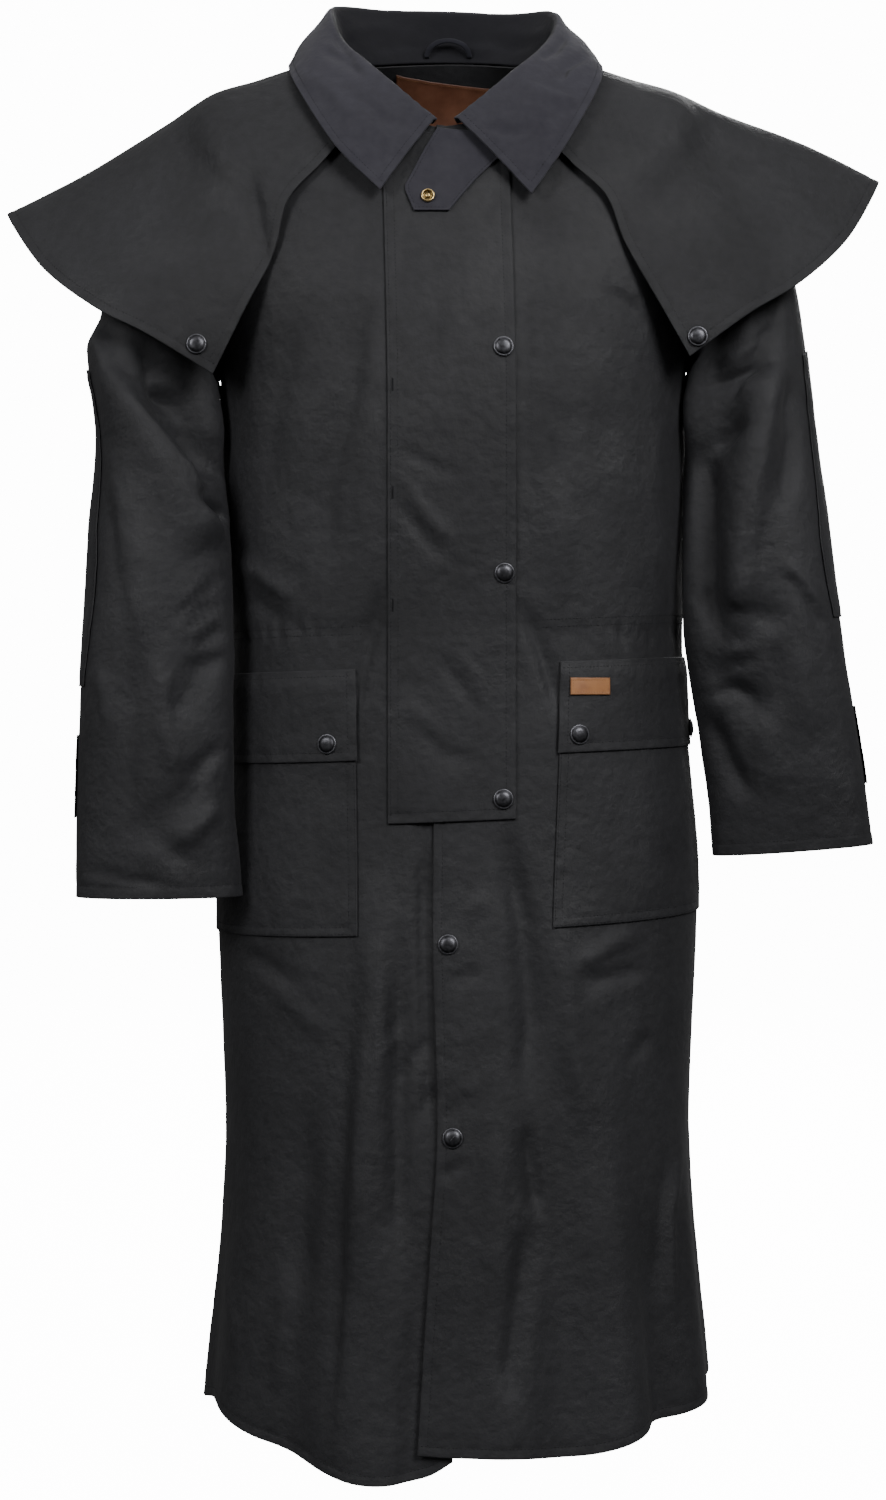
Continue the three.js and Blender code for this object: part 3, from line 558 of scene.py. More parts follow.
class EndedSurface(Surface):
    """A surface whose normals near its ends are taken a step inside them."""

    def shape(self, place: Array, t: Array) -> Array:
        """The surface's points, by place along it and t down it."""
        raise NotImplementedError

    def points(self, u: Array, v: Array) -> Array:
        """The surface's points."""
        return self.shape(*np.broadcast_arrays(np.asarray(u, float), np.asarray(v, float)))

    def normals(self, u: Array, v: Array) -> Array:
        """The outward normals."""
        inside_u = np.clip(u, self.step_u - 1, 1 - self.step_u)
        inside_v = np.clip(v, self.step_v, 1 - self.step_v)
        return super().normals(inside_u, inside_v)


class CapeShape(EndedSurface):
    """The cape, from the wearer's right front edge (-1) round the back to the left one (1), and down."""

    step_u = 0.005
    step_v = 0.012
    first_down = 6.0
    lifts = (2.6, 4.2, 5.4, 6.2)
    wall = 1.8
    sag_at = 0.55
    round_mm = 800.0  # about half its hem
    down_mm = 300.0
    stations = Table(
        "place neckTurn turn lieTurn lieDown lift sag hemX hemY hemZ",
        (-1, 323, 332, 322, 245, 5, 0, -209, -111, -316),
        (-0.9, 312, 314, 306, 215, 12, -4, -268, -110, -280),
        (-0.8, 299, 296, 291, 190, 13, -2, -317, -101, -254),
        (-0.7, 286, 283, 281, 165, 8, 3, -371, -64, -211),
        (-0.6, 271, 270, 270, 152, 6, 4, -413, -5, -151),
        (-0.45, 253, 251, 251, 165, 7.5, 3, -382, 68, -179),
        (-0.3, 233, 231, 231, 200, 8, 0, -318, 124, -230),
        (-0.15, 208, 207, 207, 240, 7, -3, -196, 160, -296),
        (0, 180, 180, 180, 250, 5, 2, 0, 170, -326),
        (0.15, 152, 153, 153, 240, 7, -3, 200, 160, -284),
        (0.3, 127, 129, 129, 200, 8, 0, 320, 124, -210),
        (0.45, 107, 109, 109, 165, 10, -3, 383, 68, -155),
        (0.6, 89, 90, 90, 152, 8, -6, 409, -5, -121),
        (0.7, 74, 77, 79, 165, 11, -4, 371, -64, -184),
        (0.8, 61, 64, 69, 190, 13, -3, 322, -101, -231),
        (0.9, 48, 46, 54, 215, 12, -4, 274, -110, -261),
        (1, 37, 28.5, 38.5, 245, 5, 0, 220, -111, -300),
    )

    def __init__(self, trunk: Trunk, relief: Relief) -> None:
        """Keeps the trunk that the cape lies on, and the cape's relief."""
        self.trunk, self.relief = trunk, relief

    def chart(self, u: Array, v: Array) -> Array:
        """About millimetres along the cape and down it."""
        return np.stack([u * self.round_mm, v * self.down_mm], axis=-1)

    def shape(self, place: Array, t: Array) -> Array:
        """The cape's points: lying on the shoulders first, then hanging free to the hem.

        Args:
            place: places along the cape, -1 to 1.
            t: shares of the way from its upper edge to its hem.

        Returns:
            The points, (..., 3).
        """
        row = {name: self.stations.at(name, place) for name in self.stations.columns}
        points = []
        for i, lift in enumerate([*self.lifts, row["lift"]]):
            share = i / len(self.lifts)
            down = self.first_down + (row["lieDown"] - self.first_down) * share
            first, middle, last = row["neckTurn"], row["turn"], row["lieTurn"]
            slopes = {0: middle - first, 0.5: (last - first) / 2, 1: last - middle}
            start, stop = (first, middle) if share <= 0.5 else (middle, last)
            low = slopes[0] if share <= 0.5 else slopes[0.5]
            high = slopes[0.5] if share <= 0.5 else slopes[1]
            s = 2 * share if share <= 0.5 else 2 * share - 1
            turn = bend(start, stop, low, high, s)
            normals = self.trunk.normals(turn, down)
            points.append(self.trunk.points(turn, down) + normals * np.asarray(lift + self.wall)[..., None])
        hem = np.stack([row["hemX"], row["hemY"], row["hemZ"]], axis=-1)
        between = points[-1] + (hem - points[-1]) * self.sag_at
        between[..., 2] -= row["sag"]
        return through(np.stack([*points, between, hem], axis=-2), t)


class CollarShape(EndedSurface):
    """The collar, from the wearer's right end (-1) round the back to the left one (1), and from the neck
    seam up the stand, over the roll and down the fall. Its numbers give the middle of the cloth."""

    step_u = 0.004
    step_v = 0.008
    foot_gap = 1.4
    roll = 5.0
    roll_share = 0.35
    roll_closed = 0.65  # how much tighter the roll is at the front ends
    closed_from = 0.86
    closed_over = 0.12
    roll_out = (-0.6, 0.2, 1.7)
    bulge = 5.0
    bulge_at = 0.55
    round_mm = 235.0  # about half its roll
    up_mm = 150.0
    stations = Table(
        "place turn rollX rollY rollZ edgeX edgeY edgeZ",
        (-1, 354, -8, -109, -88, -58, -128, -155),
        (-0.85, 318, -67, -76, -31, -98, -113, -113),
        (-0.7, 293, -95, -34, 3, -137, -67, -46),
        (-0.55, 268, -108, 8, 36, -146, 10, -8),
        (-0.38, 236, -105, 52, 59, -124, 84, -11),
        (-0.2, 207, -62, 78, 63, -70, 111, -12),
        (0, 180, 0, 84, 63, 0, 117, -13),
        (0.2, 153, 61, 78, 59, 70, 111, -12),
        (0.38, 124, 102, 52, 54, 124, 84, -11),
        (0.55, 92, 107, 8, 31, 143, 10, -7),
        (0.7, 67, 95, -34, 2, 142, -67, -44),
        (0.85, 42, 67, -76, -32, 108, -113, -112),
        (1, 6, 9, -109, -87, 77, -126, -158),
    )

    def __init__(self, trunk: Trunk, relief: Relief) -> None:
        """Keeps the trunk that the collar stands on, and the collar's relief."""
        self.trunk, self.relief = trunk, relief

    def chart(self, u: Array, v: Array) -> Array:
        """About millimetres along the collar and up it."""
        return np.stack([u * self.round_mm, v * self.up_mm], axis=-1)

    def shape(self, place: Array, t: Array) -> Array:
        """The collar's points.

        Args:
            place: places along the collar, -1 to 1.
            t: shares of the way from the neck seam over the roll to the fall's edge.

        Returns:
            The points, (..., 3).
        """
        row = {name: self.stations.at(name, place) for name in self.stations.columns}
        foot = self.trunk.points(row["turn"], np.zeros_like(place))
        foot[..., 2] += self.foot_gap
        roll = np.stack([row["rollX"], row["rollY"], row["rollZ"]], axis=-1)
        edge = np.stack([row["edgeX"], row["edgeY"], row["edgeZ"]], axis=-1)
        outward = edge - foot
        outward[..., 2] = 0
        outward = unit(outward)
        up = roll - foot
        size = np.minimum(self.roll, np.linalg.norm(up, axis=-1) * self.roll_share)[..., None]
        closed = smooth((np.abs(place) - self.closed_from) / self.closed_over)
        size *= 1 - self.roll_closed * closed[..., None]
        up = unit(up)
        bulge = self.bulge * size / self.roll
        start, top, end = self.roll_out
        middle = roll + (edge - roll) * self.bulge_at + outward * bulge
        middle[..., 2] += bulge[..., 0] / 2
        fold = [roll - up * size + outward * size * start, roll + outward * size * top]
        fold.append(roll - up * size + outward * size * end)
        return through(np.stack([foot, *fold, middle, edge], axis=-2), t)


@dataclass
class Weave:
    """A grid of places on a surface, with how far each is from the cloth's edges."""

    surface: Surface
    u: Array
    v: Array
    wrapped: bool = False
    gaps: dict[str, Array] = field(default_factory=dict)
    cut: Array | None = None

    @classmethod
    def lay(
        cls,
        surface: Surface,
        rows: Array,
        start: Array,
        stop: Array,
        near_start: Sequence[float],
        near_stop: Sequence[float],
        fine: float = FINE,
    ) -> "Weave":
        """Lays a grid between two edges, with columns at set distances from them.

        Args:
            surface: the surface to lie on.
            rows: the rows' v.
            start: each row's u at its first column.
            stop: each row's u at its last column.
            near_start: distances of the first columns from the first edge.
            near_stop: distances of the last columns from the last edge.
            fine: the spacing between.

        Returns:
            The grid.
        """
        shares = np.linspace(0, 1, 97)
        start, stop = np.broadcast_to(start, rows.shape), np.broadcast_to(stop, rows.shape)
        u = start[:, None] + (stop - start)[:, None] * shares
        legs = np.linalg.norm(np.diff(surface.points(u, rows[:, None] + 0 * u), axis=1), axis=2)
        run = np.concatenate([np.zeros((len(rows), 1)), np.cumsum(legs, axis=1)], axis=1)
        total = run[:, -1]
        count = max(2, round((total.max() - near_start[-1] - near_stop[-1]) / fine))
        found = np.empty((len(rows), len(near_start) + len(near_stop) + count - 1))
        for i, whole in enumerate(total):
            squeeze = min(1.0, 0.8 * whole / (near_start[-1] + near_stop[-1] + 1e-6))
            first = np.array(near_start) * squeeze
            last = whole - np.array(near_stop)[::-1] * squeeze
            middle = np.linspace(first[-1], last[0], count + 1)[1:-1]
            wanted = np.concatenate([first, middle, last])
            found[i] = np.interp(wanted, run[i], shares)
        return cls(surface, start[:, None] + (stop - start)[:, None] * found, rows[:, None] + 0 * found)

    def measure(self) -> "Weave":
        """Works out the gaps to the edges and the flat cut's coordinates, and returns the grid."""
        points = self.closed(self.surface.points(self.u, self.v))
        across = np.linalg.norm(np.diff(points, axis=1), axis=2)
        downward = np.linalg.norm(np.diff(points, axis=0), axis=2)
        run_u = np.concatenate([np.zeros((len(points), 1)), np.cumsum(across, axis=1)], axis=1)
        run_v = np.concatenate([np.zeros((1, points.shape[1])), np.cumsum(downward, axis=0)], axis=0)
        self.gaps = {
            "start": run_u, "stop": run_u[:, -1:] - run_u, "top": run_v, "foot": run_v[-1:] - run_v,
        }
        if self.wrapped:
            self.gaps = {name: gap[:, :-1] for name, gap in self.gaps.items()}
        self.cut = np.stack([run_u, run_v], axis=-1)
        return self

    def closed(self, grid: Array) -> Array:
        """A grid with its first column repeated at the end where it is a tube's."""
        return np.concatenate([grid, grid[:, :1]], axis=1) if self.wrapped else grid

    def flat(self) -> Three:
        """The width, the length and the area of the cloth as it was cut, in metres."""
        points = self.closed(self.surface.points(self.u, self.v))
        span = points[1:, 1:] - points[:-1, :-1], points[1:, :-1] - points[:-1, 1:]
        area = np.linalg.norm(np.cross(*span), axis=-1).sum() / 2
        across = np.linalg.norm(np.diff(points, axis=1), axis=2).sum(1).max()
        downward = np.linalg.norm(np.diff(points, axis=0), axis=2).sum(0).max()
        return round(across * MM, 4), round(downward * MM, 4), round(area * MM * MM, 5)


def rounded_in(gap: Array, radius: float = 0.5) -> Array:
    """How far a rolled edge falls back, by the distance from the edge."""
    inside = np.clip(1 - gap / 1.0, 0, 1)
    return radius * (1 - np.sqrt(1 - inside**2))


def row_places(
    start: float,
    stop: float,
    near_start: Sequence[float],
    near_stop: Sequence[float],
    size: float = 1.0,
    fine: float = FINE,
) -> Array:
    """Rows from start to stop, with some at set distances from the two ends.

    Args:
        start: the first row.
        stop: the last row.
        near_start: distances in millimetres of the first rows from the start.
        near_stop: distances of the last rows from the stop.
        size: millimetres that one step of the rows' own measure takes.
        fine: the spacing between.

    Returns:
        The rows.
    """
    first, last = start + np.array(near_start) / size, stop - np.array(near_stop)[::-1] / size
    count = max(2, round((last[0] - first[-1]) * size / fine))
    return np.concatenate([first, np.linspace(first[-1], last[0], count + 1)[1:-1], last])


def mesh_object(name: str, points: Array, faces: Sequence[Sequence[int]]) -> bpy.types.Object:
    """A smooth-shaded mesh in the scene.

    Args:
        name: the piece's name.
        points: its points in millimetres.
        faces: its faces as point numbers.

    Returns:
        The object.
    """
    mesh = bpy.data.meshes.new(name)
    mesh.from_pydata((np.asarray(points) * MM).tolist(), [], faces)
    mesh.polygons.foreach_set("use_smooth", [True] * len(mesh.polygons))
    mesh.update()
    piece = bpy.data.objects.new(name, mesh)
    bpy.context.scene.collection.objects.link(piece)
    return piece


def close_grid(rows: int, columns: int, wrapped: bool) -> tuple[Array, Array, Array]:
    """Quads of a shell made of an outer and an inner grid.

    Args:
        rows: rows of each grid.
        columns: columns of each grid.
        wrapped: whether the columns close into a tube.

    Returns:
        The quads, for each whether it is an inner one, and the quads as places of the flat cut, where a
        tube's first column stands at its end again.
    """
    index = np.arange(2 * rows * columns).reshape(2, rows, columns)
    if wrapped:
        index = np.concatenate([index, index[:, :, :1]], axis=2)
    flat = np.arange(index.size).reshape(index.shape)
    outer, inner = flat

    def quads(a: Array, b: Array, c: Array, d: Array) -> Array:
        """Faces from four arrays of corners."""
        return np.stack([a, b, c, d], axis=-1).reshape(-1, 4)

    parts = [
        quads(outer[:-1, :-1], outer[1:, :-1], outer[1:, 1:], outer[:-1, 1:]),
        quads(inner[:-1, :-1], inner[:-1, 1:], inner[1:, 1:], inner[1:, :-1]),
        quads(outer[0, :-1], outer[0, 1:], inner[0, 1:], inner[0, :-1]),
        quads(outer[-1, :-1], inner[-1, :-1], inner[-1, 1:], outer[-1, 1:]),
    ]
    if not wrapped:
        parts.append(quads(outer[:-1, 0], inner[:-1, 0], inner[1:, 0], outer[1:, 0]))
        parts.append(quads(outer[:-1, -1], outer[1:, -1], inner[1:, -1], inner[:-1, -1]))
    marks = np.concatenate([np.full(len(part), k == 1) for k, part in enumerate(parts)])
    places = np.concatenate(parts)
    return index.ravel()[places], marks, places


@dataclass
class Shell:
    """A thin cloth shell over a grid."""

    name: str
    weave: Weave
    out: Array | float
    wall: float
    finish: bpy.types.Material
    lining: bpy.types.Material
    rolled: tuple[str, ...] = ("start", "stop", "top", "foot")
    stitched: tuple[str, ...] = ()
    turned_in: tuple[str, ...] = ()
    stitch: float = HEM_STITCH
    tight: float = 0.35  # how far a line of stitches pulls the cloth in
    groove_width: float = 1.6
    pucker: Rumple = Rumple(0.5, 16, 16, 4.0)
    pucker_reach: float = 9.0
    tuck: float = 1.1  # how far an edge that is sewn in sinks
    tuck_width: float = 2.4
    inner_fall: float = 0.6  # how much of an edge's roundness the inner face has
    outer: Array | None = None
    normals: Array | None = None

    def edge_gap(self, names: Sequence[str]) -> Array:
        """The distance to the nearest of some edges."""
        gaps = [self.weave.gaps[name] for name in names]
        return np.minimum.reduce(gaps) if gaps else np.full(self.weave.u.shape, 99.0)

    def build(self) -> bpy.types.Object:
        """Makes the shell's mesh with its flat-cut coordinates and edge distances."""
        w = self.weave.measure()
        rolled, stitched = self.edge_gap(self.rolled), self.edge_gap(self.stitched)
        turned = self.edge_gap(self.turned_in)
        fall = rounded_in(rolled)
        off = stitched - self.stitch
        groove = self.tight * np.exp(-((off / self.groove_width) ** 2))
        chart = w.cut[:, : w.u.shape[1]]
        pucker = self.pucker.swell(chart) * np.exp(-((off / self.pucker_reach) ** 2))
        seam = self.tuck * np.exp(-((turned / self.tuck_width) ** 2))
        points, normals = w.surface.points(w.u, w.v), w.surface.normals(w.u, w.v)
        swell = w.surface.relief.swell(points, normals, w.surface.chart(w.u, w.v))
        lift = swell + self.out - groove + pucker - seam
        self.outer = points + normals * (lift - fall)[..., None]
        self.normals = normals
        inner = points + normals * (lift - self.wall + fall * self.inner_fall)[..., None]
        rows, columns = w.u.shape
        quads, inside, places = close_grid(rows, columns, w.wrapped)
        both = np.concatenate([self.outer.reshape(-1, 3), inner.reshape(-1, 3)])
        if self.is_inside_out(both, quads):
            quads, places = quads[:, ::-1], places[:, ::-1]
        piece = mesh_object(self.name, both, quads.tolist())
        piece.data.materials.append(self.finish)
        piece.data.materials.append(self.lining)
        piece.data.polygons.foreach_set("material_index", inside.astype(np.int32))
        self.add_cut(piece, w, stitched, places)
        return piece

    @staticmethod
    def is_inside_out(points: Array, quads: Array) -> bool:
        """Whether the faces look inwards, from the sign of the volume they hold."""
        a, b, c, d = (points[quads[:, k]] for k in range(4))
        return bool((a * (np.cross(b, c) + np.cross(c, d))).sum() < 0)

    @staticmethod
    def add_cut(piece: bpy.types.Object, w: Weave, stitched: Array, places: Array) -> None:
        """Stores the flat cut as the UV map, in metres, and the edge distance as an attribute.

        Args:
            piece: the shell.
            w: its grid.
            stitched: each place's distance to the nearest stitched edge.
            places: the quads as places of the flat cut.
        """
        flat = np.tile(w.cut.reshape(-1, 2), (2, 1)) * MM
        layer = piece.data.uv_layers.new(name="cut")
        layer.data.foreach_set("uv", flat[places.ravel()].ravel())
        gap = piece.data.attributes.new("edge_gap", "FLOAT", "POINT")
        gap.data.foreach_set("value", np.tile(np.clip(stitched, 0, 99).ravel(), 2).astype(np.float32))

    def line(self, edge: str, gap: float) -> tuple[Array, Array]:
        """Points and normals of the shell's outer face along a line at a set distance from an edge.

        Args:
            edge: start, stop, top or foot.
            gap: the distance in millimetres.

        Returns:
            Points and normals along the line.
        """
        gaps = self.weave.gaps[edge]
        across = edge in ("start", "stop")
        if not across:
            gaps = gaps.T
        outer = self.outer if across else self.outer.transpose(1, 0, 2)
        normals = self.normals if across else self.normals.transpose(1, 0, 2)
        points, ways = [], []
        for i in range(len(gaps)):
            order = np.argsort(gaps[i])
            near = gaps[i][order]
            points.append(walked(gap, near, outer[i][order]))
            ways.append(walked(gap, near, normals[i][order]))
        return np.array(points), unit(np.array(ways))


@dataclass
class Stitching:
    """Lines of stitches, each stitch a small spindle of thread."""

    name: str
    finish: bpy.types.Material
    slot: Slot = Slot.OILSKIN
    pitch: float = 3.5
    length: float = 2.7
    width: float = 0.62
    height: float = 0.34
    points: list[Array] = field(default_factory=list)

    def run(self, line: tuple[Array, Array], trim: float = 4.0) -> None:
        """Sews along a line, starting and stopping a little inside its ends.

        Args:
            line: the line's points and normals.
            trim: how far inside its ends.
        """
        places, normals = line
        legs = np.linalg.norm(np.diff(places, axis=0), axis=1)
        walk = np.concatenate([[0], np.cumsum(legs)])
        count = int((walk[-1] - 2 * trim) / self.pitch)
        if count < 2:
            return
        at = trim + self.pitch * np.arange(count)
        centre, out = walked(at, walk, places), unit(walked(at, walk, normals))
        way = unit(walked(at + 0.5, walk, places) - centre)
        across = np.cross(out, way)
        half, wide = way * self.length / 2, across * self.width / 2
        crown = out * self.height
        corners = (-half, wide, half, -wide, crown, -crown)
        self.points.append(np.stack([centre + corner for corner in corners], axis=1))

    def border(self, shell: Shell, edges: Sequence[str], gap: float, trim: float = 4.0) -> None:
        """Sews along edges of a shell, at a set distance in from them."""
        for edge in edges:
            self.run(shell.line(edge, gap), trim)

    def bar(self, line: tuple[Array, Array], top: float, foot: float) -> None:
        """Sews along the part of a line that shows between two rows of the picture.

        Args:
            line: the line's points and normals.
            top: the upper row.
            foot: the lower row.
        """
        rows = Picture.seen(line[0])[:, 1]
        wanted = np.linspace(top, foot, 12)
        self.run((walked(wanted, rows, line[0]), unit(walked(wanted, rows, line[1]))), 0.0)

    def build(self) -> bpy.types.Object:
        """Makes all the stitches as one mesh."""
        points = np.concatenate(self.points)
        faces = np.array(
            [(0, 3, 4), (3, 2, 4), (2, 1, 4), (1, 0, 4), (3, 0, 5), (2, 3, 5), (1, 2, 5), (0, 1, 5)]
        )
        numbers = (np.arange(len(points)) * 6)[:, None, None] + faces
        piece = mesh_object(self.name, points.reshape(-1, 3), numbers.reshape(-1, 3).tolist())
        piece.data.materials.append(self.finish)
        dress(piece, self.slot)
        return piece


def dress(
    piece: bpy.types.Object,
    slot: Slot,
    nodes: Sequence[str] = (),
    cut: Three | None = None,
) -> None:
    """Places a piece in the frame and reports it.

    Args:
        piece: the piece.
        slot: the material slot that it would take its finish from; not used.
        nodes: the solids that it stands for.
        cut: width, length and area of a cloth piece as it was cut, in metres.
    """
    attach(piece, "root")
    if nodes:
        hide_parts(*nodes)
    size = f", cut {cut[0]:.3f} x {cut[1]:.3f} m, {cut[2]:.4f} square metres" if cut else ""
    log.info("%s: %d faces%s", piece.name, len(piece.data.polygons), size)


class Graph:
    """The node graph of one material."""

    def __init__(self, name: str) -> None:
        """Starts a material with its shader."""
        self.material = bpy.data.materials.new(name)
        self.material.use_nodes = True
        self.tree = self.material.node_tree
        self.shader = self.tree.nodes["Principled BSDF"]

    def node(self, kind: str, inputs: dict[str | int, object], **settings: object) -> bpy.types.Node:
        """Adds a node.

        Args:
            kind: the node's type, without the word that all shader nodes start with.
            inputs: values, or other nodes' outputs, for its inputs.
            settings: its own settings.

        Returns:
            The node.
        """
        node = self.tree.nodes.new("ShaderNode" + kind)
        for key, value in settings.items():
            setattr(node, key, value)
        for key, value in inputs.items():
            self.give(node, key, value)
        return node

    def give(self, node: bpy.types.Node, key: str | int, value: object) -> None:
        """Sets or links one input of a node."""
        if isinstance(value, bpy.types.NodeSocket):
            self.tree.links.new(value, node.inputs[key])
        else:
            node.inputs[key].default_value = value

    def shade(self, **inputs: object) -> bpy.types.Material:
        """Sets the shader's inputs, named with a low line for each space, and returns the material."""
        for key, value in inputs.items():
            self.give(self.shader, key.replace("_", " "), value)
        return self.material

    def noise(self, where: object, scale: float, detail: float = 3.0) -> bpy.types.NodeSocket:
        """A cloud pattern from 0 to 1."""
        return self.node("TexNoise", {"Vector": where, "Scale": scale, "Detail": detail}).outputs["Fac"]

    def ramp(self, factor: object, *stops: tuple[float, Sequence[float]]) -> bpy.types.NodeSocket:
        """A colour read from a few stops.

        Args:
            factor: the value that picks the colour.
            stops: each stop's place, 0 to 1, and colour.

        Returns:
            The colour.
        """
        node = self.node("ValToRGB", {"Fac": factor})
        elements = node.color_ramp.elements
        while len(elements) < len(stops):
            elements.new(0.5)
        for element, (at, colour) in zip(elements, stops):
            element.position = at
            element.color = (*colour[:3], 1.0)
        return node.outputs["Color"]

    def spread(self, value: object, low: float, high: float, to_low: float, to_high: float) -> object:
        """A value moved from one range to another."""
        inputs = {"Value": value, "From Min": low, "From Max": high, "To Min": to_low, "To Max": to_high}
        return self.node("MapRange", inputs).outputs["Result"]

    def blend(self, factor: object, first: object, second: object) -> bpy.types.NodeSocket:
        """A mix of two colours."""
        node = self.node("Mix", {0: factor, 6: first, 7: second}, data_type="RGBA")
        return node.outputs[2]

    def sum(self, first: object, second: object, share: float) -> bpy.types.NodeSocket:
        """The first value plus a share of the second."""
        return self.node("Math", {0: second, 1: share, 2: first}, operation="MULTIPLY_ADD").outputs[0]

    def bump(self, height: object, depth: float, over: object = None) -> bpy.types.NodeSocket:
        """A normal raised by a height.

        Args:
            height: the height, 0 to 1.
            depth: how many metres 1 stands for.
            over: the normal that it is added to.

        Returns:
            The normal.
        """
        inputs = {"Height": height, "Distance": depth, "Strength": 1.0}
        if over is not None:
            inputs["Normal"] = over
        return self.node("Bump", inputs).outputs["Normal"]


@dataclass(frozen=True)
class Cloth:
    """A woven cloth with clouded colour, fine crinkles, rubbed edges and, if asked, painted shade where it
    faces the neck.
    """

    name: str
    dark: Three
    pale: Three
    rubbed: Three
    roughness: tuple[float, float]
    sheen: float
    gloss: float = 0.25
    threads: float = 1400.0  # threads to the metre
    crinkle: float = 0.0016
    slub: float = 0.0007
    cloud: float = 7.0
    inside: float = 0.0  # how much painted shade darkens the cloth where it faces the neck

    def make(self) -> bpy.types.Material:
        """Builds the material."""
        graph = Graph(self.name)
        place = graph.node("TexCoord", {}).outputs["Object"]
        cut = graph.node("UVMap", {}, uv_map="cut").outputs["UV"]
        gap = graph.node("Attribute", {}, attribute_name="edge_gap").outputs["Fac"]
        clouds = graph.noise(place, self.cloud, 4.0)
        specks = graph.noise(place, 120.0, 5.0)
        body = graph.ramp(graph.sum(clouds, specks, 0.6), (0.5, self.dark), (1.05, self.pale))
        near = graph.spread(gap, 0.2, 2.6, 1.0, 0.0)
        rubs = graph.noise(place, 60.0, 3.0)
        worn = graph.node("Math", {0: near, 1: rubs}, operation="MULTIPLY").outputs[0]
        colour = graph.blend(worn, body, (*self.rubbed, 1.0))
        if self.inside:
            # painted shade: the cloth turns near-black where it faces the neck, standing in for the shadow
            # inside the collar's stand
            faces = graph.node("NewGeometry", {}).outputs["Normal"]
            away = graph.node("VectorMath", {0: place, 1: faces}, operation="DOT_PRODUCT").outputs["Value"]
            painted_neck_shade = graph.spread(away, -0.03, 0.0, self.inside, 0.0)
            colour = graph.blend(painted_neck_shade, colour, (0.003, 0.003, 0.0045, 1.0))
        rough = graph.spread(graph.noise(place, 16.0, 4.0), 0.3, 0.7, *self.roughness)
        bands = {"Vector": cut, "Scale": self.threads * math.pi / 10, "Distortion": 0.3}
        weave = [graph.node("TexWave", bands, bands_direction=way).outputs["Fac"] for way in ("X", "Y")]
        cloth = graph.sum(weave[0], weave[1], 1.0)
        crinkled = graph.bump(graph.noise(place, 30.0, 6.0), self.crinkle)
        slubbed = graph.bump(graph.noise(place, 110.0, 5.0), self.slub, crinkled)
        normal = graph.bump(cloth, 0.00004, slubbed)
        return graph.shade(
            Base_Color=colour, Roughness=rough, Normal=normal, Sheen_Weight=self.sheen, Sheen_Roughness=0.45,
            Specular_IOR_Level=self.gloss,
        )


@dataclass(frozen=True)
class Metal:
    """A plated snap, worn through on its raised rims and dull in its hollows."""

    name: str
    deep: Three
    worn: Three
    roughness: tuple[float, float] = (0.24, 0.42)

    def make(self) -> bpy.types.Material:
        """Builds the material."""
        graph = Graph(self.name)
        place = graph.node("TexCoord", {}).outputs["Object"]
        bare = graph.node("NewGeometry", {}).outputs["Pointiness"]
        scuffs = graph.noise(place, 420.0, 4.0)
        rubbed = graph.sum(graph.spread(bare, 0.5, 0.6, 0.0, 0.9), scuffs, 0.35)
        colour = graph.ramp(rubbed, (0.12, self.deep), (0.8, self.worn))
        rough = graph.spread(scuffs, 0.3, 0.7, *self.roughness)
        normal = graph.bump(graph.noise(place, 900.0, 2.0), 0.00003)
        return graph.shade(Base_Color=colour, Roughness=rough, Normal=normal, Metallic=1.0)


@dataclass(frozen=True)
class Leather:
    """Smooth tanned leather with a fine grain, darker towards its cut edges."""

    name: str
    deep: Three
    pale: Three

    def make(self) -> bpy.types.Material:
        """Builds the material."""
        graph = Graph(self.name)
        place = graph.node("TexCoord", {}).outputs["Object"]
        gap = graph.node("Attribute", {}, attribute_name="edge_gap").outputs["Fac"]
        body = graph.ramp(graph.noise(place, 60.0, 4.0), (0.3, self.deep), (0.75, self.pale))
        edge = graph.spread(gap, 0.0, 1.6, 0.75, 0.0)
        colour = graph.blend(edge, body, (*[0.5 * c for c in self.deep], 1.0))
        cells = graph.node("TexVoronoi", {"Vector": place, "Scale": 1500.0}).outputs["Distance"]
        return graph.shade(Base_Color=colour, Roughness=0.5, Normal=graph.bump(cells, 0.00008))


@dataclass(frozen=True)
class Thread:
    """Sewing thread, a little uneven in tone."""

    name: str
    deep: Three
    pale: Three

    def make(self) -> bpy.types.Material:
        """Builds the material."""
        graph = Graph(self.name)
        place = graph.node("TexCoord", {}).outputs["Object"]
        colour = graph.ramp(graph.noise(place, 90.0, 2.0), (0.3, self.deep), (0.7, self.pale))
        twist = graph.node("TexWave", {"Vector": place, "Scale": 500.0}).outputs["Fac"]
        return graph.shade(
            Base_Color=colour, Roughness=0.8, Normal=graph.bump(twist, 0.00004), Specular_IOR_Level=0.2
        )


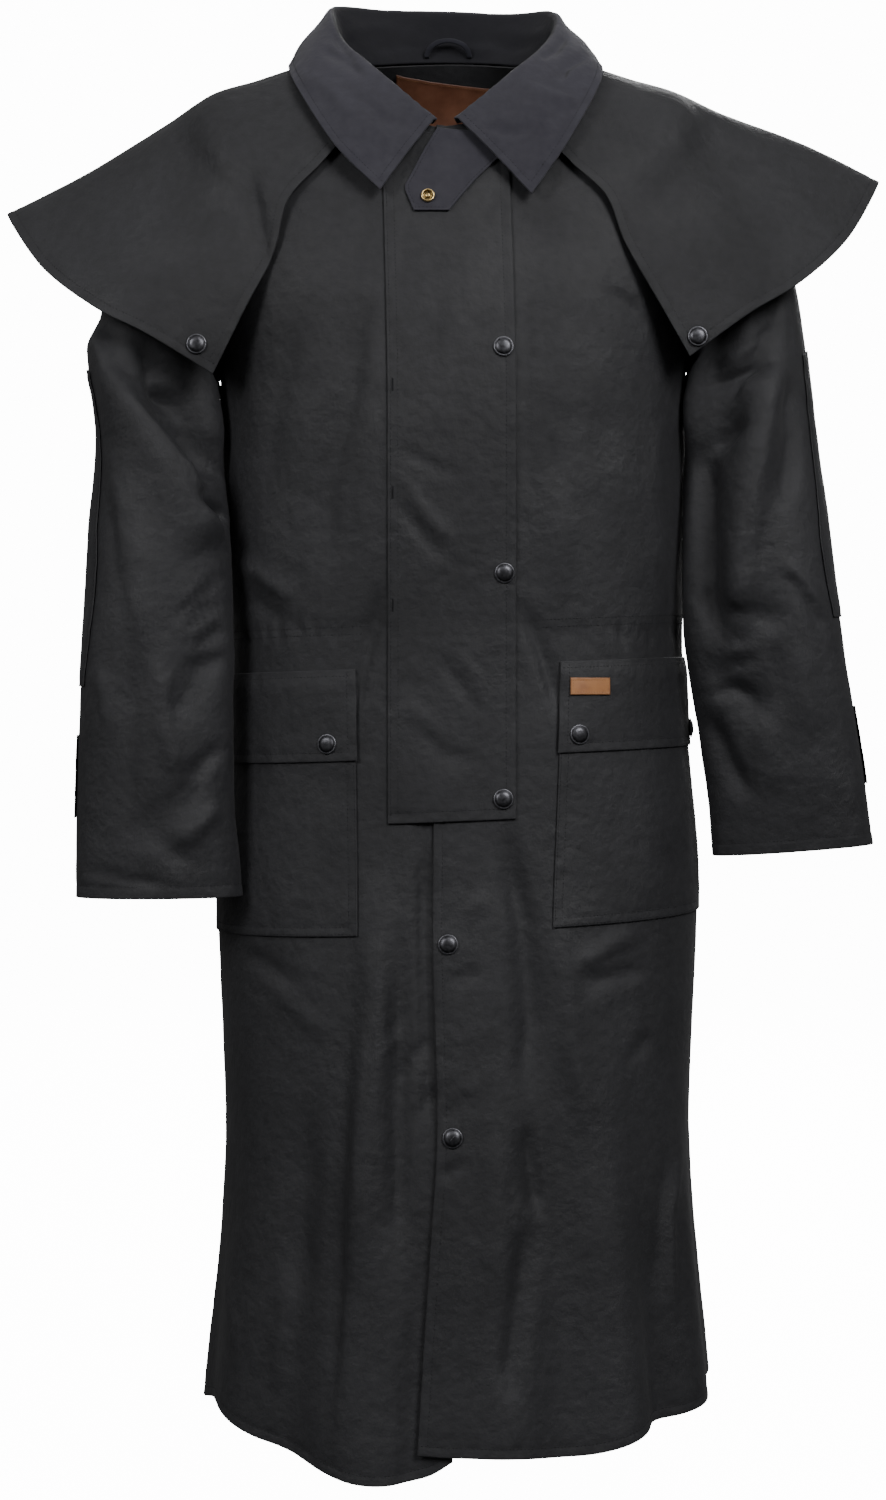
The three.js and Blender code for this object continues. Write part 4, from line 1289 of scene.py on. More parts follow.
class Finishes:
    """The coat's materials."""

    def __init__(self) -> None:
        """Makes each material once."""
        self.oilskin = Cloth(
            "oilskin", (0.0105, 0.0105, 0.0118), (0.0195, 0.0195, 0.0216), (0.014, 0.014, 0.0155),
            (0.52, 0.72), 0.03, crinkle=0.0021, slub=0.001,
        ).make()
        self.lining = Cloth(
            "lining", (0.011, 0.011, 0.012), (0.017, 0.017, 0.019), (0.02, 0.02, 0.022), (0.6, 0.75), 0.02
        ).make()
        # the collar cloth, with painted shade where it faces the neck
        self.collar = Cloth(
            "collar_cloth", (0.019, 0.018, 0.024), (0.031, 0.03, 0.038), (0.026, 0.025, 0.032),
            (0.8, 0.95), 0.08, threads=900.0, crinkle=0.0009, inside=0.87,
        ).make()
        # the loop's band: the collar cloth made darker, painted shade for where it hangs inside the stand
        self.band = Cloth(
            "collar_band_painted_shade", (0.006, 0.006, 0.009), (0.01, 0.01, 0.015), (0.012, 0.012, 0.017),
            (0.8, 0.95), 0.05, threads=900.0, crinkle=0.0006,
        ).make()
        self.gunmetal = Metal("gunmetal", (0.02, 0.02, 0.022), (0.16, 0.16, 0.175), (0.34, 0.5)).make()
        self.brass = Metal("brass", (0.08, 0.05, 0.015), (0.75, 0.55, 0.25)).make()
        self.label = Leather("label_leather", (0.09, 0.032, 0.016), (0.16, 0.066, 0.036)).make()
        self.patch = Leather("patch_leather", (0.22, 0.085, 0.025), (0.34, 0.15, 0.05)).make()
        self.thread = Thread("thread", (0.006, 0.006, 0.007), (0.013, 0.013, 0.015)).make()
        self.tan_thread = Thread("tan_thread", (0.12, 0.06, 0.025), (0.24, 0.13, 0.06)).make()


def near_edge(stitch: float = HEM_STITCH) -> tuple[float, ...]:
    """Where a shell has its first points in from an edge, close together round a line of stitches.

    Args:
        stitch: how far in from the edge the line of stitches is.

    Returns:
        The points' distances from the edge.
    """
    if stitch < 5:
        return (0.0, 0.35, 1.0, stitch - 0.9, stitch, stitch + 0.9, stitch + 4.5)
    return (0.0, 0.35, 1.0, 3.2, stitch - 1.7, stitch, stitch + 1.7, stitch + 5.5)


def trunk_rows(start: float, stop: float) -> Array:
    """Rows of the body's panels, close together where the armhole's edge turns fast.

    Args:
        start: how far down the first row is.
        stop: how far down the last row is.

    Returns:
        The rows' distances down.
    """
    fine = armhole_down(np.linspace(0, 180, 49))
    above = row_places(start, TIP_DOWN, NEAR_SEAM, (0.0,))[:-1]
    below = row_places(PIT_DOWN, stop, (0.0,), near_edge())[1:]
    return np.concatenate([above, fine, below])


def hung(hem: Table, turn: Array, down: Array) -> Array:
    """How far down a place is once its panel's rows bend with its hem."""
    return down + hem.at("drop", turn) * smooth((down - HEM_START) / (LENGTH - HEM_START))


@dataclass
class BodyPanels:
    """The two fronts and the back, each in one piece from the neck to the hem."""

    trunk: Trunk
    finishes: Finishes
    side_turn: float = 89.94  # the side seam, less half its gap
    underlap: float = 30.0
    cover: float = 4.0
    dip: float = 24.0
    sunk: float = 3.4
    sunk_at_hem: float = 2.6
    tape: float = 2.0  # half its width, in degrees of turn
    tape_above: float = 7.0  # how far above the armpit it starts
    tape_gap: float = 0.35
    tape_wall: float = 0.6
    tape_fine: float = 3.0
    casing: tuple[float, float] = (608.0, 615.0)
    casing_turns: Pairs = ((-88.0, -17.0), (17.0, 88.0), (92.0, 268.0))
    casing_points: int = 160
    casing_out: float = 0.1
    edge: Table = Table(
        "down x",
        (0, -8), (500, -10), (787, -10.5), (895, -11.5), (987, -9), (1067, -7.5), (1146, -12.5), (1234, -19),
        (1330, -25),
    )
    hem_left: Table = Table("turn drop", (-10, -2), (8, 2), (25, 12), (42, 3), (66, 0), (90, 0))
    hem_right: Table = Table(
        "turn drop", (-90, 0), (-66, -20), (-45, -4), (-26, 13), (-14, 21), (-6, 17), (2, -4), (8, -8)
    )
    hem_back: Table = Table("turn drop", (90, 0), (180, 6), (270, 0))

    def shell(self, name: str, weave: Weave, out: Array | float, edges: tuple[str, ...]) -> Shell:
        """A panel's shell, stitched at its hem and at the edges named.

        Args:
            name: the panel's name.
            weave: its grid.
            out: how far it stands out.
            edges: its free edges beside the hem.

        Returns:
            The shell.
        """
        seams = tuple(edge for edge in ("start", "stop") if edge not in edges)
        return Shell(
            name, weave, out, CLOTH, self.finishes.oilskin, self.finishes.lining,
            rolled=("foot", *edges), stitched=("foot", *edges), turned_in=seams,
        )

    def build(self) -> None:
        """Builds the three panels and their stitching."""
        rows = trunk_rows(0, LENGTH)
        outer = self.side_turn - armhole_width(rows)
        edge_x = self.edge.at("x", rows)
        sewing = Stitching("stitching_body", self.finishes.thread)

        left = Weave.lay(self.trunk, rows, self.trunk.turn_at(edge_x, rows), outer, near_edge(), NEAR_SEAM)
        left.v = hung(self.hem_left, left.u, left.v)
        shell = self.shell("cloth_front_left", left, 0.0, ("start",))
        dress(shell.build(), Slot.OILSKIN, ("front_left", "skirt_left"), left.flat())
        sewing.run(shell.line("foot", HEM_STITCH))
        sewing.run(shell.line("start", HEM_STITCH))

        stop = self.trunk.turn_at(edge_x + self.underlap, rows)
        right = Weave.lay(self.trunk, rows, -outer, stop, NEAR_SEAM, near_edge())
        out = self.underlap_out(right.u, right.v)
        right.v = hung(self.hem_right, right.u, right.v)
        shell = self.shell("cloth_front_right", right, out, ("stop",))
        dress(shell.build(), Slot.OILSKIN, ("front_right", "skirt_right"), right.flat())
        sewing.run(shell.line("foot", HEM_STITCH))

        start = 180 - outer
        back = Weave.lay(self.trunk, rows, start, 360 - start, NEAR_SEAM, NEAR_SEAM, COARSE)
        back.v = hung(self.hem_back, back.u, back.v)
        shell = self.shell("cloth_back", back, 0.0, ())
        nodes = ("back", "skirt_back_left", "skirt_back_right")
        dress(shell.build(), Slot.OILSKIN, nodes, back.flat())
        sewing.run(shell.line("foot", HEM_STITCH))
        self.build_tapes(rows[rows > PIT_DOWN - self.tape_above])
        for down in self.casing:
            for begin, end in self.casing_turns:
                turns = np.linspace(begin, end, self.casing_points)
                sewing.run(self.trunk.lifted(turns, np.full(turns.shape, down), self.casing_out))
        sewing.build()

    def build_tapes(self, rows: Array) -> None:
        """Builds the tapes that bind the two side seams on the inside, from the armpits to the hem.

        Args:
            rows: the rows' distances down.
        """
        for side in Side:
            ends = sorted((side.value * (90 - self.tape), side.value * (90 + self.tape)))
            near = (0.0, 1.0)
            start = np.full(rows.shape, ends[0])
            weave = Weave.lay(self.trunk, rows, start, ends[1], near, near, self.tape_fine)
            lining = self.finishes.lining
            out = -CLOTH - self.tape_gap
            shell = Shell(f"tape_side_{side.word}", weave, out, self.tape_wall, lining, lining, rolled=())
            dress(shell.build(), Slot.OILSKIN, (), weave.flat())

    def underlap_out(self, turn: Array, down: Array) -> Array:
        """How far the lower front sinks where the upper front covers it.

        Args:
            turn: turns on the body.
            down: distances down.

        Returns:
            Millimetres out, below 0.
        """
        edge_x = self.edge.at("x", down)
        dip_turn = self.trunk.turn_at(edge_x - self.dip, down)
        cover_turn = self.trunk.turn_at(edge_x - self.cover, down)
        deeper = self.sunk_at_hem * smooth((down - HEM_START) / (LENGTH - HEM_START))
        return -(self.sunk + deeper) * smooth((turn - dip_turn) / (cover_turn - dip_turn))


@dataclass
class StormFlap:
    """The flap sewn down one side of the front closure and closed with snaps along the other."""

    trunk: Trunk
    finishes: Finishes
    sewn_x: float = -51.0
    free_x: float = 63.0
    top: float = 18.0
    foot: float = 787.0
    lean: float = 6.0
    lean_foot: float = 420.0
    out: float = 2.5
    wall: float = 1.4
    foot_stitch: float = 9.5
    lines: tuple[tuple[str, float], ...] = (("start", 2.8), ("start", 9.4), ("stop", 9.0))
    tack_gap: float = 4.6
    # the picture's rows at which each bar tack starts and stops
    tacks: Pairs = ((378.0, 392.0), (486.0, 500.0), (599.0, 613.0))

    def line_x(self, x: float, down: Array) -> Array:
        """An edge's X, which leans over its upper part."""
        return x - self.lean * smooth(1 - down / self.lean_foot)

    def build(self) -> None:
        """Builds the flap and its stitching."""
        rows = row_places(self.top, self.foot, NEAR_SEAM, near_edge(self.foot_stitch))
        start = self.trunk.turn_at(self.line_x(self.sewn_x, rows), rows)
        stop = self.trunk.turn_at(self.line_x(self.free_x, rows), rows)
        weave = Weave.lay(self.trunk, rows, start, stop, near_edge(2.0), near_edge())
        shell = Shell(
            "cloth_storm_flap", weave, self.out, self.wall, self.finishes.oilskin, self.finishes.lining,
            stitched=("foot", "stop"),
        )
        piece = shell.build()
        dress(piece, Slot.OILSKIN, ("storm_flap",), weave.flat())
        sewing = Stitching("stitching_storm_flap", self.finishes.thread)
        for edge, gap in (*self.lines, ("foot", self.foot_stitch)):
            sewing.run(shell.line(edge, gap))
        sewing.build()
        bars = Stitching("bar_tacks", self.finishes.thread, pitch=0.9, length=1.1, width=2.6, height=0.5)
        for top, foot in self.tacks:
            bars.bar(shell.line("start", self.tack_gap), top, foot)
        bars.build()


@dataclass
class Pocket:
    """A patch pocket and its flap, the flap's two snaps on its lower corners."""

    trunk: Trunk
    finishes: Finishes
    side: Side
    inner_top: float = 93.0
    inner_foot: float = 83.0
    outer_turn: float = 87.5
    flap_top: float = 647.0
    flap_bend: float = -2.0
    top: float = 660.0
    flap_foot: float = 730.0
    foot: float = 885.0
    overhang: float = 0.5
    out: float = 2.1
    wall: float = 1.2
    bag_stitches: tuple[float, float] = (1.9, 8.4)
    flap_stitch: float = 8.2
    top_stitch: float = 6.0

    def ends(self, rows: Array, overhang: float) -> tuple[Array, Array]:
        """The two edges of each row.

        Args:
            rows: the rows' distances down.
            overhang: how much further the inner edge reaches, in degrees.

        Returns:
            The edges' turns, the lesser first.
        """
        sign = self.side.value
        share = np.clip((rows - self.flap_top) / (self.foot - self.flap_top), 0, 1)
        away = self.inner_top + (self.inner_foot - self.inner_top) * share
        inner = self.trunk.turn_at(self.trunk.rings.at("shift", rows) + sign * away, rows) - sign * overhang
        outer = np.full(rows.shape, sign * self.outer_turn)
        return (inner, outer) if sign > 0 else (outer, inner)

    def shell(self, name: str, rows: Array, overhang: float, over: bool) -> Shell:
        """The shell of the pocket or of its flap.

        Args:
            name: the piece's name.
            rows: its rows' distances down.
            overhang: how much further its inner edge reaches, in degrees.
            over: whether it is the flap, which lies over the pocket.

        Returns:
            The shell.
        """
        weave = Weave.lay(self.trunk, rows, *self.ends(rows, overhang), near_edge(), near_edge())
        if over:
            over_at = self.top - self.flap_bend
            lift = self.out * (1 + smooth((weave.v - self.flap_top) / (over_at - self.flap_top)))
        else:
            lift = self.out + 0 * weave.v
        return Shell(
            name, weave, lift, self.wall, self.finishes.oilskin, self.finishes.lining,
            stitched=("start", "stop", "foot"),
        )

    def build(self) -> None:
        """Builds the pocket, its flap and their stitching."""
        word = self.side.word
        rows = row_places(self.top, self.foot, (0.0, 1.0, 4.0), near_edge())
        bag = self.shell(f"cloth_pocket_{word}", rows, 0.0, False)
        dress(bag.build(), Slot.OILSKIN, (f"pocket_{word}",), bag.weave.flat())
        rows = row_places(self.flap_top, self.flap_foot, near_edge(5.0), near_edge())
        flap = self.shell(f"cloth_pocket_flap_{word}", rows, self.overhang, True)
        dress(flap.build(), Slot.OILSKIN, (f"pocket_flap_{word}",), flap.weave.flat())
        sewing = Stitching(f"stitching_pocket_{word}", self.finishes.thread)
        for edge in ("start", "stop", "foot"):
            for gap in self.bag_stitches:
                sewing.run(bag.line(edge, gap))
            sewing.run(flap.line(edge, self.flap_stitch))
        sewing.run(flap.line("top", self.top_stitch))
        sewing.build()


@dataclass
class SleevePieces:
    """A sleeve with its elbow patch and its cuff tab."""

    sleeve: Sleeve
    finishes: Finishes
    patch_foot: float
    patch_top: float = 4.7
    cuff_ring: float = 12.0
    columns: int = 76
    cuff_stitch: float = 11.4
    stitch: float = 3.0  # of the patch and the tab
    layer_wall: float = 1.1
    patch_out: float = 1.9
    tab_out: float = 2.2
    tab_rings: tuple[float, float] = (9.75, 10.85)
    tab_ends: tuple[float, float] = (-80.0, 10.0)
    elbow: Table = Table("ring front back", (4.7, 33, -92), (6.8, 37, -98), (7.5, 40, -98), (9.1, 27, -88))

    def build(self) -> None:
        """Builds the three shells and their stitching."""
        word = self.sleeve.side.word
        size = self.sleeve.ring_mm
        rows = row_places(0.02, self.cuff_ring, (0.0, 1.5, 4.0, 8.0), near_edge(self.cuff_stitch), size)
        u = np.linspace(180, 540, self.columns, endpoint=False)[None, :] + 0 * rows[:, None]
        tube = Weave(self.sleeve, u, rows[:, None] + 0 * u, wrapped=True)
        shell = Shell(
            f"cloth_sleeve_{word}", tube, 0.0, CLOTH, self.finishes.oilskin, self.finishes.lining,
            rolled=("foot",), stitched=("foot",), turned_in=("top",), stitch=self.cuff_stitch,
        )
        dress(shell.build(), Slot.OILSKIN, (f"sleeve_{word}",), tube.flat())
        sewing = Stitching(f"stitching_sleeve_{word}", self.finishes.thread)
        sewing.run(shell.line("foot", self.cuff_stitch), 0.0)

        near = near_edge(self.stitch)
        rows = row_places(self.patch_top, self.patch_foot, near, near, size)
        back, front = self.elbow.at("back", rows), self.elbow.at("front", rows)
        patch = self.layer(f"cloth_elbow_patch_{word}", rows, back, front, self.patch_out)
        dress(patch.build(), Slot.OILSKIN, (f"elbow_patch_{word}",), patch.weave.flat())
        rows = row_places(*self.tab_rings, near, near, size)
        tab = self.layer(f"cloth_cuff_tab_{word}", rows, *self.tab_ends, self.tab_out)
        dress(tab.build(), Slot.OILSKIN, (f"cuff_tab_{word}",), tab.weave.flat())
        for part in (patch, tab):
            sewing.border(part, ("start", "stop", "top", "foot"), self.stitch, 3.0)
        sewing.build()

    def layer(self, name: str, rows: Array, start: object, stop: object, out: float) -> Shell:
        """A shell sewn on the sleeve.

        Args:
            name: the piece's name.
            rows: its rows, as rings.
            start: how far around each row starts.
            stop: how far around each row stops.
            out: how far it stands out.

        Returns:
            The shell.
        """
        near = near_edge(self.stitch)
        weave = Weave.lay(self.sleeve, rows, start, stop, near, near)
        return Shell(
            name, weave, out, self.layer_wall, self.finishes.oilskin, self.finishes.lining,
            stitched=("start", "stop", "top", "foot"), stitch=self.stitch,
        )


@dataclass
class Cape:
    """The shoulder cape, open at the front, stitched along its hem and front edges."""

    shape: CapeShape
    finishes: Finishes

    def build(self) -> None:
        """Builds the cape and its stitching."""
        rows = row_places(0.0, 1.0, NEAR_SEAM, near_edge(), self.shape.down_mm)
        weave = Weave.lay(self.shape, rows, np.full(rows.shape, -1.0), 1.0, near_edge(), near_edge())
        edges = ("start", "stop", "foot")
        shell = Shell(
            "cloth_cape", weave, 0.0, CLOTH, self.finishes.oilskin, self.finishes.lining,
            rolled=edges, stitched=edges,
        )
        piece = shell.build()
        dress(piece, Slot.OILSKIN, ("cape",), weave.flat())
        sewing = Stitching("stitching_cape", self.finishes.thread)
        sewing.border(shell, edges, HEM_STITCH)
        sewing.build()


@dataclass
class Collar:
    """The turned-down collar, piped along its edge, with the hanging loop inside its stand."""

    shape: CollarShape
    finishes: Finishes
    wall: float = 2.0
    topstitch: float = 7.0
    fine: float = 3.0
    loop_half: float = 23.5
    loop_centre: float = 3.0
    loop_foot: float = 5.0
    loop_rise: float = 17.0
    loop_band: float = 5.0
    loop_stand: float = 8.0
    loop_wall: float = 1.3
    loop_gap: float = 0.8
    loop_crown: float = 0.5  # how much thicker the band is along its middle
    loop_grid: tuple[int, int] = (41, 6)

    def build(self) -> None:
        """Builds the collar, its stitching and its loop."""
        ends = near_edge(self.topstitch)
        rows = row_places(0.0, 1.0, (0.0, 2.0, 4.5), ends, self.shape.up_mm, self.fine)
        weave = Weave.lay(self.shape, rows, np.full(rows.shape, -1.0), 1.0, ends, ends, self.fine)
        edges = ("start", "stop", "foot")
        shell = Shell(
            "cloth_collar", weave, self.wall / 2, self.wall, self.finishes.collar, self.finishes.collar,
            rolled=edges, stitched=edges, stitch=self.topstitch,
        )
        piece = shell.build()
        dress(piece, Slot.COLLAR_CLOTH, ("collar",), weave.flat())
        sewing = Stitching("stitching_collar", self.finishes.thread, Slot.COLLAR_CLOTH)
        sewing.border(shell, edges, self.topstitch)
        sewing.build()
        self.build_loop()

    def build_loop(self) -> None:
        """Builds the band that arches over the inside of the stand at the back."""
        angle = np.linspace(0, math.pi, self.loop_grid[0])[:, None]
        band = np.linspace(0, 1, self.loop_grid[1])[None, :] * self.loop_band
        reach = self.loop_half - self.loop_band + band
        rise = self.loop_foot + (self.loop_rise - self.loop_band + band) * np.sin(angle)
        out = self.wall / 2 + self.loop_gap + self.loop_stand * np.sin(angle) + 0 * band
        place = (self.loop_centre - reach * np.cos(angle)) / self.shape.round_mm
        points, normals = self.shape.lifted(place, rise / self.shape.up_mm, 0.0)
        crown = self.loop_crown * np.sin(math.pi * band / self.loop_band)
        outer = points + normals * (out + self.loop_wall + crown)[..., None]
        inner = points + normals * (out - crown * 0.4)[..., None]
        quads, _, _ = close_grid(*self.loop_grid, False)
        both = np.concatenate([outer.reshape(-1, 3), inner.reshape(-1, 3)])
        if Shell.is_inside_out(both, quads):
            quads = quads[:, ::-1]
        loop = mesh_object("loop_band", both, quads.tolist())
        # the band's darker cloth is painted shade for the inside of the stand
        loop.data.materials.append(self.finishes.band)
        dress(loop, Slot.COLLAR_CLOTH, ("hanging_loop",))


class Viewed(Surface):
    """The body's surface as the front view, or the back view, gives it: by X and by Z turned down."""

    step_v = -1.0

    def __init__(self, trunk: Trunk, on_the_back: bool = False) -> None:
        """Keeps the trunk, and which of its sides is meant."""
        self.trunk, self.on_the_back, self.relief = trunk, on_the_back, trunk.relief

    def places(self, u: Array, v: Array) -> tuple[Array, Array]:
        """Turns and downs of points with X u and Z -v."""
        return self.trunk.place_at(u, -v, self.on_the_back)

    def points(self, u: Array, v: Array) -> Array:
        """The body's points there."""
        return self.trunk.points(*self.places(u, v))

    def normals(self, u: Array, v: Array) -> Array:
        """The body's normals there."""
        return self.trunk.normals(*self.places(u, v))

    def chart(self, u: Array, v: Array) -> Array:
        """The body's own chart there."""
        return self.trunk.chart(*self.places(u, v))


@dataclass
class ThroatTab:
    """The tab that closes the throat, from under the collar to its clipped end."""

    trunk: Trunk
    finishes: Finishes
    over: float = 5.2
    wall: float = 1.4
    length: float = 80.0
    width: float = 45.0
    stitch: float = 3.0
    rows: Table = Table(
        "z0 x0 z1 x1", (95, -7, 101, 50), (112, -17, 121, 50), (134, -28, 144, 27), (151, -37, 161, 13),
        (173, -28, 173, 3.5),
    )

    def build(self) -> None:
        """Builds the tab and its stitching."""
        near = near_edge(self.stitch)
        share = row_places(0.0, 1.0, NEAR_SEAM, near, self.length)
        across = row_places(0.0, 1.0, near, near, self.width)[None, :]
        z0, x0, z1, x1 = (
            np.interp(share, np.linspace(0, 1, len(column)), column)[:, None]
            for column in self.rows.columns.values()
        )
        weave = Weave(Viewed(self.trunk), x0 + (x1 - x0) * across, z0 + (z1 - z0) * across)
        edges = ("start", "stop", "foot")
        shell = Shell(
            "cloth_throat_tab", weave, self.over, self.wall, self.finishes.collar, self.finishes.collar,
            stitched=edges, stitch=self.stitch,
        )
        piece = shell.build()
        dress(piece, Slot.COLLAR_CLOTH, ("throat_tab",), weave.flat())
        sewing = Stitching("stitching_throat_tab", self.finishes.thread, Slot.COLLAR_CLOTH)
        sewing.border(shell, edges, self.stitch, 3.0)
        sewing.build()


@dataclass
class LeatherPieces:
    """The neck label inside the back and the patch on the left pocket flap, both bare."""

    trunk: Trunk
    finishes: Finishes
    label_x: tuple[float, float] = (-49.0, 47.0)
    label_z: tuple[float, float] = (4.5, 54.0)
    label_tilt: float = 0.1125
    label_in: float = 3.8
    patch_x: tuple[float, float] = (110.5, 146.0)
    patch_z: tuple[float, float] = (589.0, 604.5)
    patch_out: float = 6.0
    wall: float = 1.3
    stitch: float = 2.4
    label_border: float = 3.5  # how far in the points stand close together
    patch_border: float = 2.2

    def build(self) -> None:
        """Builds the label and the patch with their stitched borders."""
        near = near_edge(self.label_border)
        x = row_places(*self.label_x, near, near)[None, :]
        z = row_places(*self.label_z, near, near)[:, None]
        label = Weave(Viewed(self.trunk, True), x + 0 * z, z + self.label_tilt * x)
        self.piece("label_neck", "neck_label", label, -self.label_in, self.finishes.label, -self.wall - 0.1)
        near = near_edge(self.patch_border)
        x = row_places(*self.patch_x, near, near)[None, :]
        z = row_places(*self.patch_z, near[:6], near[:6])[:, None]
        patch = Weave(Viewed(self.trunk), x + 0 * z, z + 0 * x)
        self.piece("patch_pocket", "leather_patch", patch, self.patch_out, self.finishes.patch, 0.0)

    def piece(self, name: str, node: str, weave: Weave, out: float, finish: object, seen: float) -> None:
        """Builds one leather piece and the stitches on the face that shows.

        Args:
            name: the piece's name.
            node: the solid that it stands for.
            weave: its grid.
            out: how far its outer face stands out.
            finish: its leather.
            seen: how far out from its outer face the stitches are.
        """
        edges = ("start", "stop", "top", "foot")
        shell = Shell(
            name, weave, out, self.wall, finish, finish, stitched=edges, stitch=self.stitch, tight=0.2
        )
        dress(shell.build(), Slot.LEATHER, (node,))
        thread = self.finishes.tan_thread
        sewing = Stitching("stitching_" + name, thread, Slot.LEATHER, pitch=2.6, length=1.9, width=0.5)
        for edge in edges:
            points, normals = shell.line(edge, self.stitch)
            sewing.run((points + normals * seen, normals), self.stitch)
        sewing.build()


@dataclass
class Snap:
    """A round snap, turned from its profile."""

    name: str
    node: str
    place: Array
    out: Array
    profile: Sequence[tuple[float, float]]
    slot: Slot
    finish: bpy.types.Material
    gap: float = 0.35
    sides: int = 40

    def build(self) -> None:
        """Turns the profile round its axis and seats it."""
        out = unit(self.out)
        across = unit(np.cross(out, [0.3, 0.1, 1.0]))
        up = np.cross(out, across)
        angle = np.linspace(0, 2 * math.pi, self.sides, endpoint=False)[None, :, None]
        ring = across * np.cos(angle) + up * np.sin(angle)
        radius = np.array([r for r, _ in self.profile])[:, None, None]
        height = np.array([h for _, h in self.profile])[:, None, None]
        points = self.place + out * (height + self.gap) + ring * radius
        rows = len(self.profile)
        index = np.arange(rows * self.sides).reshape(rows, self.sides)
        index = np.concatenate([index, index[:, :1]], axis=1)
        quads = np.stack([index[:-1, :-1], index[:-1, 1:], index[1:, 1:], index[1:, :-1]], axis=-1)
        faces = quads.reshape(-1, 4).tolist()
        faces.append(index[0, -2::-1].tolist())
        faces.append(index[-1, :-1].tolist())
        piece = mesh_object(self.name, points.reshape(-1, 3), faces)
        piece.data.materials.append(self.finish)
        dress(piece, self.slot, (self.node,))


@dataclass
class Snaps:
    """All the snaps of the coat."""

    trunk: Trunk
    cape: CapeShape
    sleeves: Sequence[Sleeve]
    finishes: Finishes
    cap: Pairs = (
        (8.4, 0.0), (8.9, 0.25), (9.0, 0.8), (8.7, 1.35), (8.1, 1.5), (7.6, 1.35), (7.2, 1.5),
        (6.2, 2.3), (4.8, 2.85), (3.0, 3.15), (1.2, 3.28), (0.25, 3.3),
    )
    socket: Pairs = (
        (5.9, 0.0), (6.2, 0.3), (6.2, 1.4), (5.9, 2.1), (5.4, 2.4), (4.9, 2.3), (4.6, 1.9), (4.45, 0.4),
        (2.5, 0.35), (2.35, 1.2), (2.0, 1.75), (1.2, 2.0), (0.25, 2.05),
    )
    storm: Pairs = ((51.5, 296.0), (52.5, 496.0), (51.5, 697.0))
    skirt: Pairs = ((2.5, 825.0), (6.5, 992.0))
    pocket_turns: tuple[tuple[str, float], ...] = (
        ("left_front", 26.5), ("left_side", 83.0), ("right_front", -29.5), ("right_side", -83.0),
    )
    pocket_down: float = 714.0
    cape_places: tuple[tuple[str, float, float], ...] = (("left", 0.978, 0.965), ("right", -0.965, 0.95))
    cuff_place: tuple[float, float] = (-59.0, 10.3)
    throat_place: tuple[float, float] = (-15.5, 160.0)
    # how far each kind stands out from the surface that it is seated on
    storm_out: float = 2.5
    pocket_out: float = 4.0
    cape_out: float = 0.2
    cuff_out: float = 2.2
    throat_out: float = 5.2

    def seat(self, name: str, surface: Surface, u: float, v: float, out: float, brass: bool = False) -> None:
        """Seats one snap on a surface.

        Args:
            name: which snap it is.
            surface: the surface.
            u: its place there.
            v: its place there.
            out: how far out it sits.
            brass: whether it is the brass socket.
        """
        point, normal = surface.lifted(np.array(u), np.array(v), out)
        profile = self.socket if brass else self.cap
        slot = Slot.BRASS if brass else Slot.SNAP_METAL
        finish = self.finishes.brass if brass else self.finishes.gunmetal
        Snap("cap_" + name, "snap_" + name, point, normal, profile, slot, finish).build()

    def build(self) -> None:
        """Seats every snap."""
        front = Viewed(self.trunk)
        for i, (x, down) in enumerate(self.storm, start=1):
            self.seat(f"storm_{i}", front, x, down, self.storm_out)
        for i, (x, down) in enumerate(self.skirt, start=1):
            self.seat(f"skirt_{i}", front, x, down, 0.0)
        for name, turn in self.pocket_turns:
            self.seat("pocket_" + name, self.trunk, turn, self.pocket_down, self.pocket_out)
        for name, place, t in self.cape_places:
            self.seat("cape_" + name, self.cape, place, t, self.cape_out)
        for sleeve in self.sleeves:
            self.seat("cuff_" + sleeve.side.word, sleeve, *self.cuff_place, self.cuff_out)
        self.seat("throat", front, *self.throat_place, self.throat_out, brass=True)


